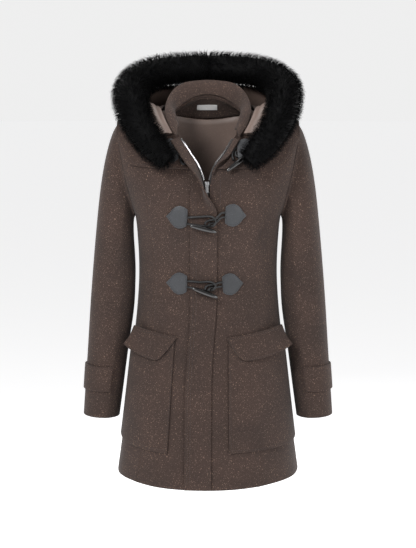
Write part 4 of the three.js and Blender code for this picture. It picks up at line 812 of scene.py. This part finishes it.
def patch_line(x, z, facing):
    turns = np.arange(-180, 181, PATCH_TURN)
    reach = np.interp(np.abs(turns), *zip(*PATCH_OUTLINE)) - PATCH_INSET
    return [(x + facing * r * math.cos(math.radians(t)), z + r * math.sin(math.radians(t)))
            for t, r in zip(turns, reach)]


print("lines", len(STITCH_LINES) + len(PATCH_SPOTS))

# %% The stitches
STITCH = 3.3  # millimetres, as are the next four
STITCH_GAP = 1.2
THREAD_RADIUS = 0.38
STITCH_SINK = 0.10
LINE_START = 1.0
STRETCH = 2  # a stitch that comes out longer than this many times its length is left out
THREAD_SIDES = 5
RAY_START = -1.0  # metres
# Columns: share of the stitch's length, lift in millimetres, share of the thread's radius.
STITCH_RINGS = [(0, -0.2, 0.4), (0.25, 0.2, 1.0), (0.75, 0.2, 1.0), (1, -0.2, 0.4)]


def front_tree(names):
    """The named pieces' faces, ready to be met by rays."""
    verts, faces = [], []
    for name in names:
        mesh = cloth_pieces[name].data
        base = len(verts)
        verts += [v.co.copy() for v in mesh.vertices]
        faces += [tuple(base + i for i in p.vertices) for p in mesh.polygons]
    return BVHTree.FromPolygons(verts, faces)


def on_cloth(tree, x, z):
    """Where a ray from the front meets the cloth, and the cloth's direction there."""
    spot, normal, _, _ = tree.ray_cast(Vector((x, RAY_START, z)), Vector((0, 1, 0)))
    return None if spot is None else (np.array(spot), np.array(normal))


def stitches(name, lines, tree, material):
    verts, faces = [], []
    for line in lines:
        flat = np.array(line, float)
        reach = travelled(flat)
        for s in np.arange(LINE_START, reach[-1] - STITCH, STITCH + STITCH_GAP):
            ends = [on_cloth(tree, *(np.interp(t, reach, flat[:, c]) * MM for c in range(2)))
                    for t in (s, s + STITCH)]
            if any(end is None for end in ends):
                continue
            (a, normal_a), (b, normal_b) = ends
            if np.linalg.norm(a - b) > STRETCH * STITCH * MM:
                continue
            along, up = unit(b - a), unit(normal_a + normal_b)
            up = unit(up - along * (up @ along))
            side = np.cross(along, up)
            base = len(verts)
            for t, lift, size in STITCH_RINGS:
                centre = a + (b - a) * t + up * (lift - STITCH_SINK) * MM
                verts += [centre + around(side, up, k, THREAD_SIDES) * THREAD_RADIUS * size * MM
                          for k in range(THREAD_SIDES)]
            faces += tube_faces(len(STITCH_RINGS), THREAD_SIDES, base)
    mesh = closed_mesh(name, verts, faces)
    mesh.polygons.foreach_set("use_smooth", [True] * len(mesh.polygons))
    new_piece(name, mesh, material)
    print(name, "faces", len(mesh.polygons))


wool_tree = front_tree([row[0] for row in WOOL_CUTS])
stitches("topstitching", STITCH_LINES, wool_tree, THREAD)
patch_tree = front_tree([n for n in cloth_pieces if n.startswith("patch")])
stitches("patch_stitching", [patch_line(*spot) for spot in PATCH_SPOTS], patch_tree, TAPE)

# %% [markdown]
# ## Floor and light
# The photograph was taken in a white studio under broad, soft lamps. A pale floor, a pale
# surround and five large area lamps repeat it, and nothing stands in the way of the other views.

# %% The floor
FLOOR_Z = -1.5  # metres
FLOOR_RADIUS = 60.0
FLOOR_SIDES = 64
PAPER = {"Base Color": (0.9, 0.9, 0.91, 1), "Roughness": 0.9,
         "Emission Color": (1, 1, 1, 1), "Emission Strength": 0.56}
bpy.ops.object.select_all(action="DESELECT")
bpy.ops.mesh.primitive_circle_add(vertices=FLOOR_SIDES, radius=FLOOR_RADIUS, fill_type="NGON",
                                  location=(0, 0, FLOOR_Z))
floor = bpy.context.active_object
floor.name = "floor"
paper = bpy.data.materials.new("paper")
paper.use_nodes = True
for key, value in PAPER.items():
    paper.node_tree.nodes["Principled BSDF"].inputs[key].default_value = value
floor.data.materials.append(paper)

# %% The lamps
LAMP_AIM = (0, 0, -0.37)  # metres
# Columns: name, place, power in watts, size in metres.
LAMPS = [
    ("key", (-1.5, -2.3, 1.5), 85.0, 1.1),
    ("fill", (2.0, -2.2, 0.7), 40.0, 1.5),
    ("top", (0.0, 0.3, 2.2), 30.0, 1.6),
    ("back", (-1.0, 2.6, 1.0), 60.0, 1.4),
    ("back_fill", (2.2, 1.6, 0.4), 30.0, 1.4),
]
for name, place, power, size in LAMPS:
    light = bpy.data.lights.new(name, "AREA")
    light.energy = power
    light.size = size
    aimed(bpy.data.objects.new(name, light), place, LAMP_AIM)
print("lamps", len(LAMPS))

# %% The surround
# It looks nearly white to the camera, as the studio does, and lights the coat more softly.
SURROUND_SEEN = 0.86
SURROUND_LIGHT = 0.34
world = bpy.data.worlds.new("studio")
bpy.context.scene.world = world
world.use_nodes = True
tree = world.node_tree
strength = add(tree, "ShaderNodeMapRange")
feed(tree, strength.inputs["To Min"], SURROUND_LIGHT)
feed(tree, strength.inputs["To Max"], SURROUND_SEEN)
feed(tree, strength.inputs["Value"], add(tree, "ShaderNodeLightPath").outputs["Is Camera Ray"])
feed(tree, tree.nodes["Background"].inputs["Strength"], strength.outputs["Result"])
feed(tree, tree.nodes["Background"].inputs["Color"], (1, 1, 1, 1))
bpy.context.scene.view_settings.view_transform = "Standard"
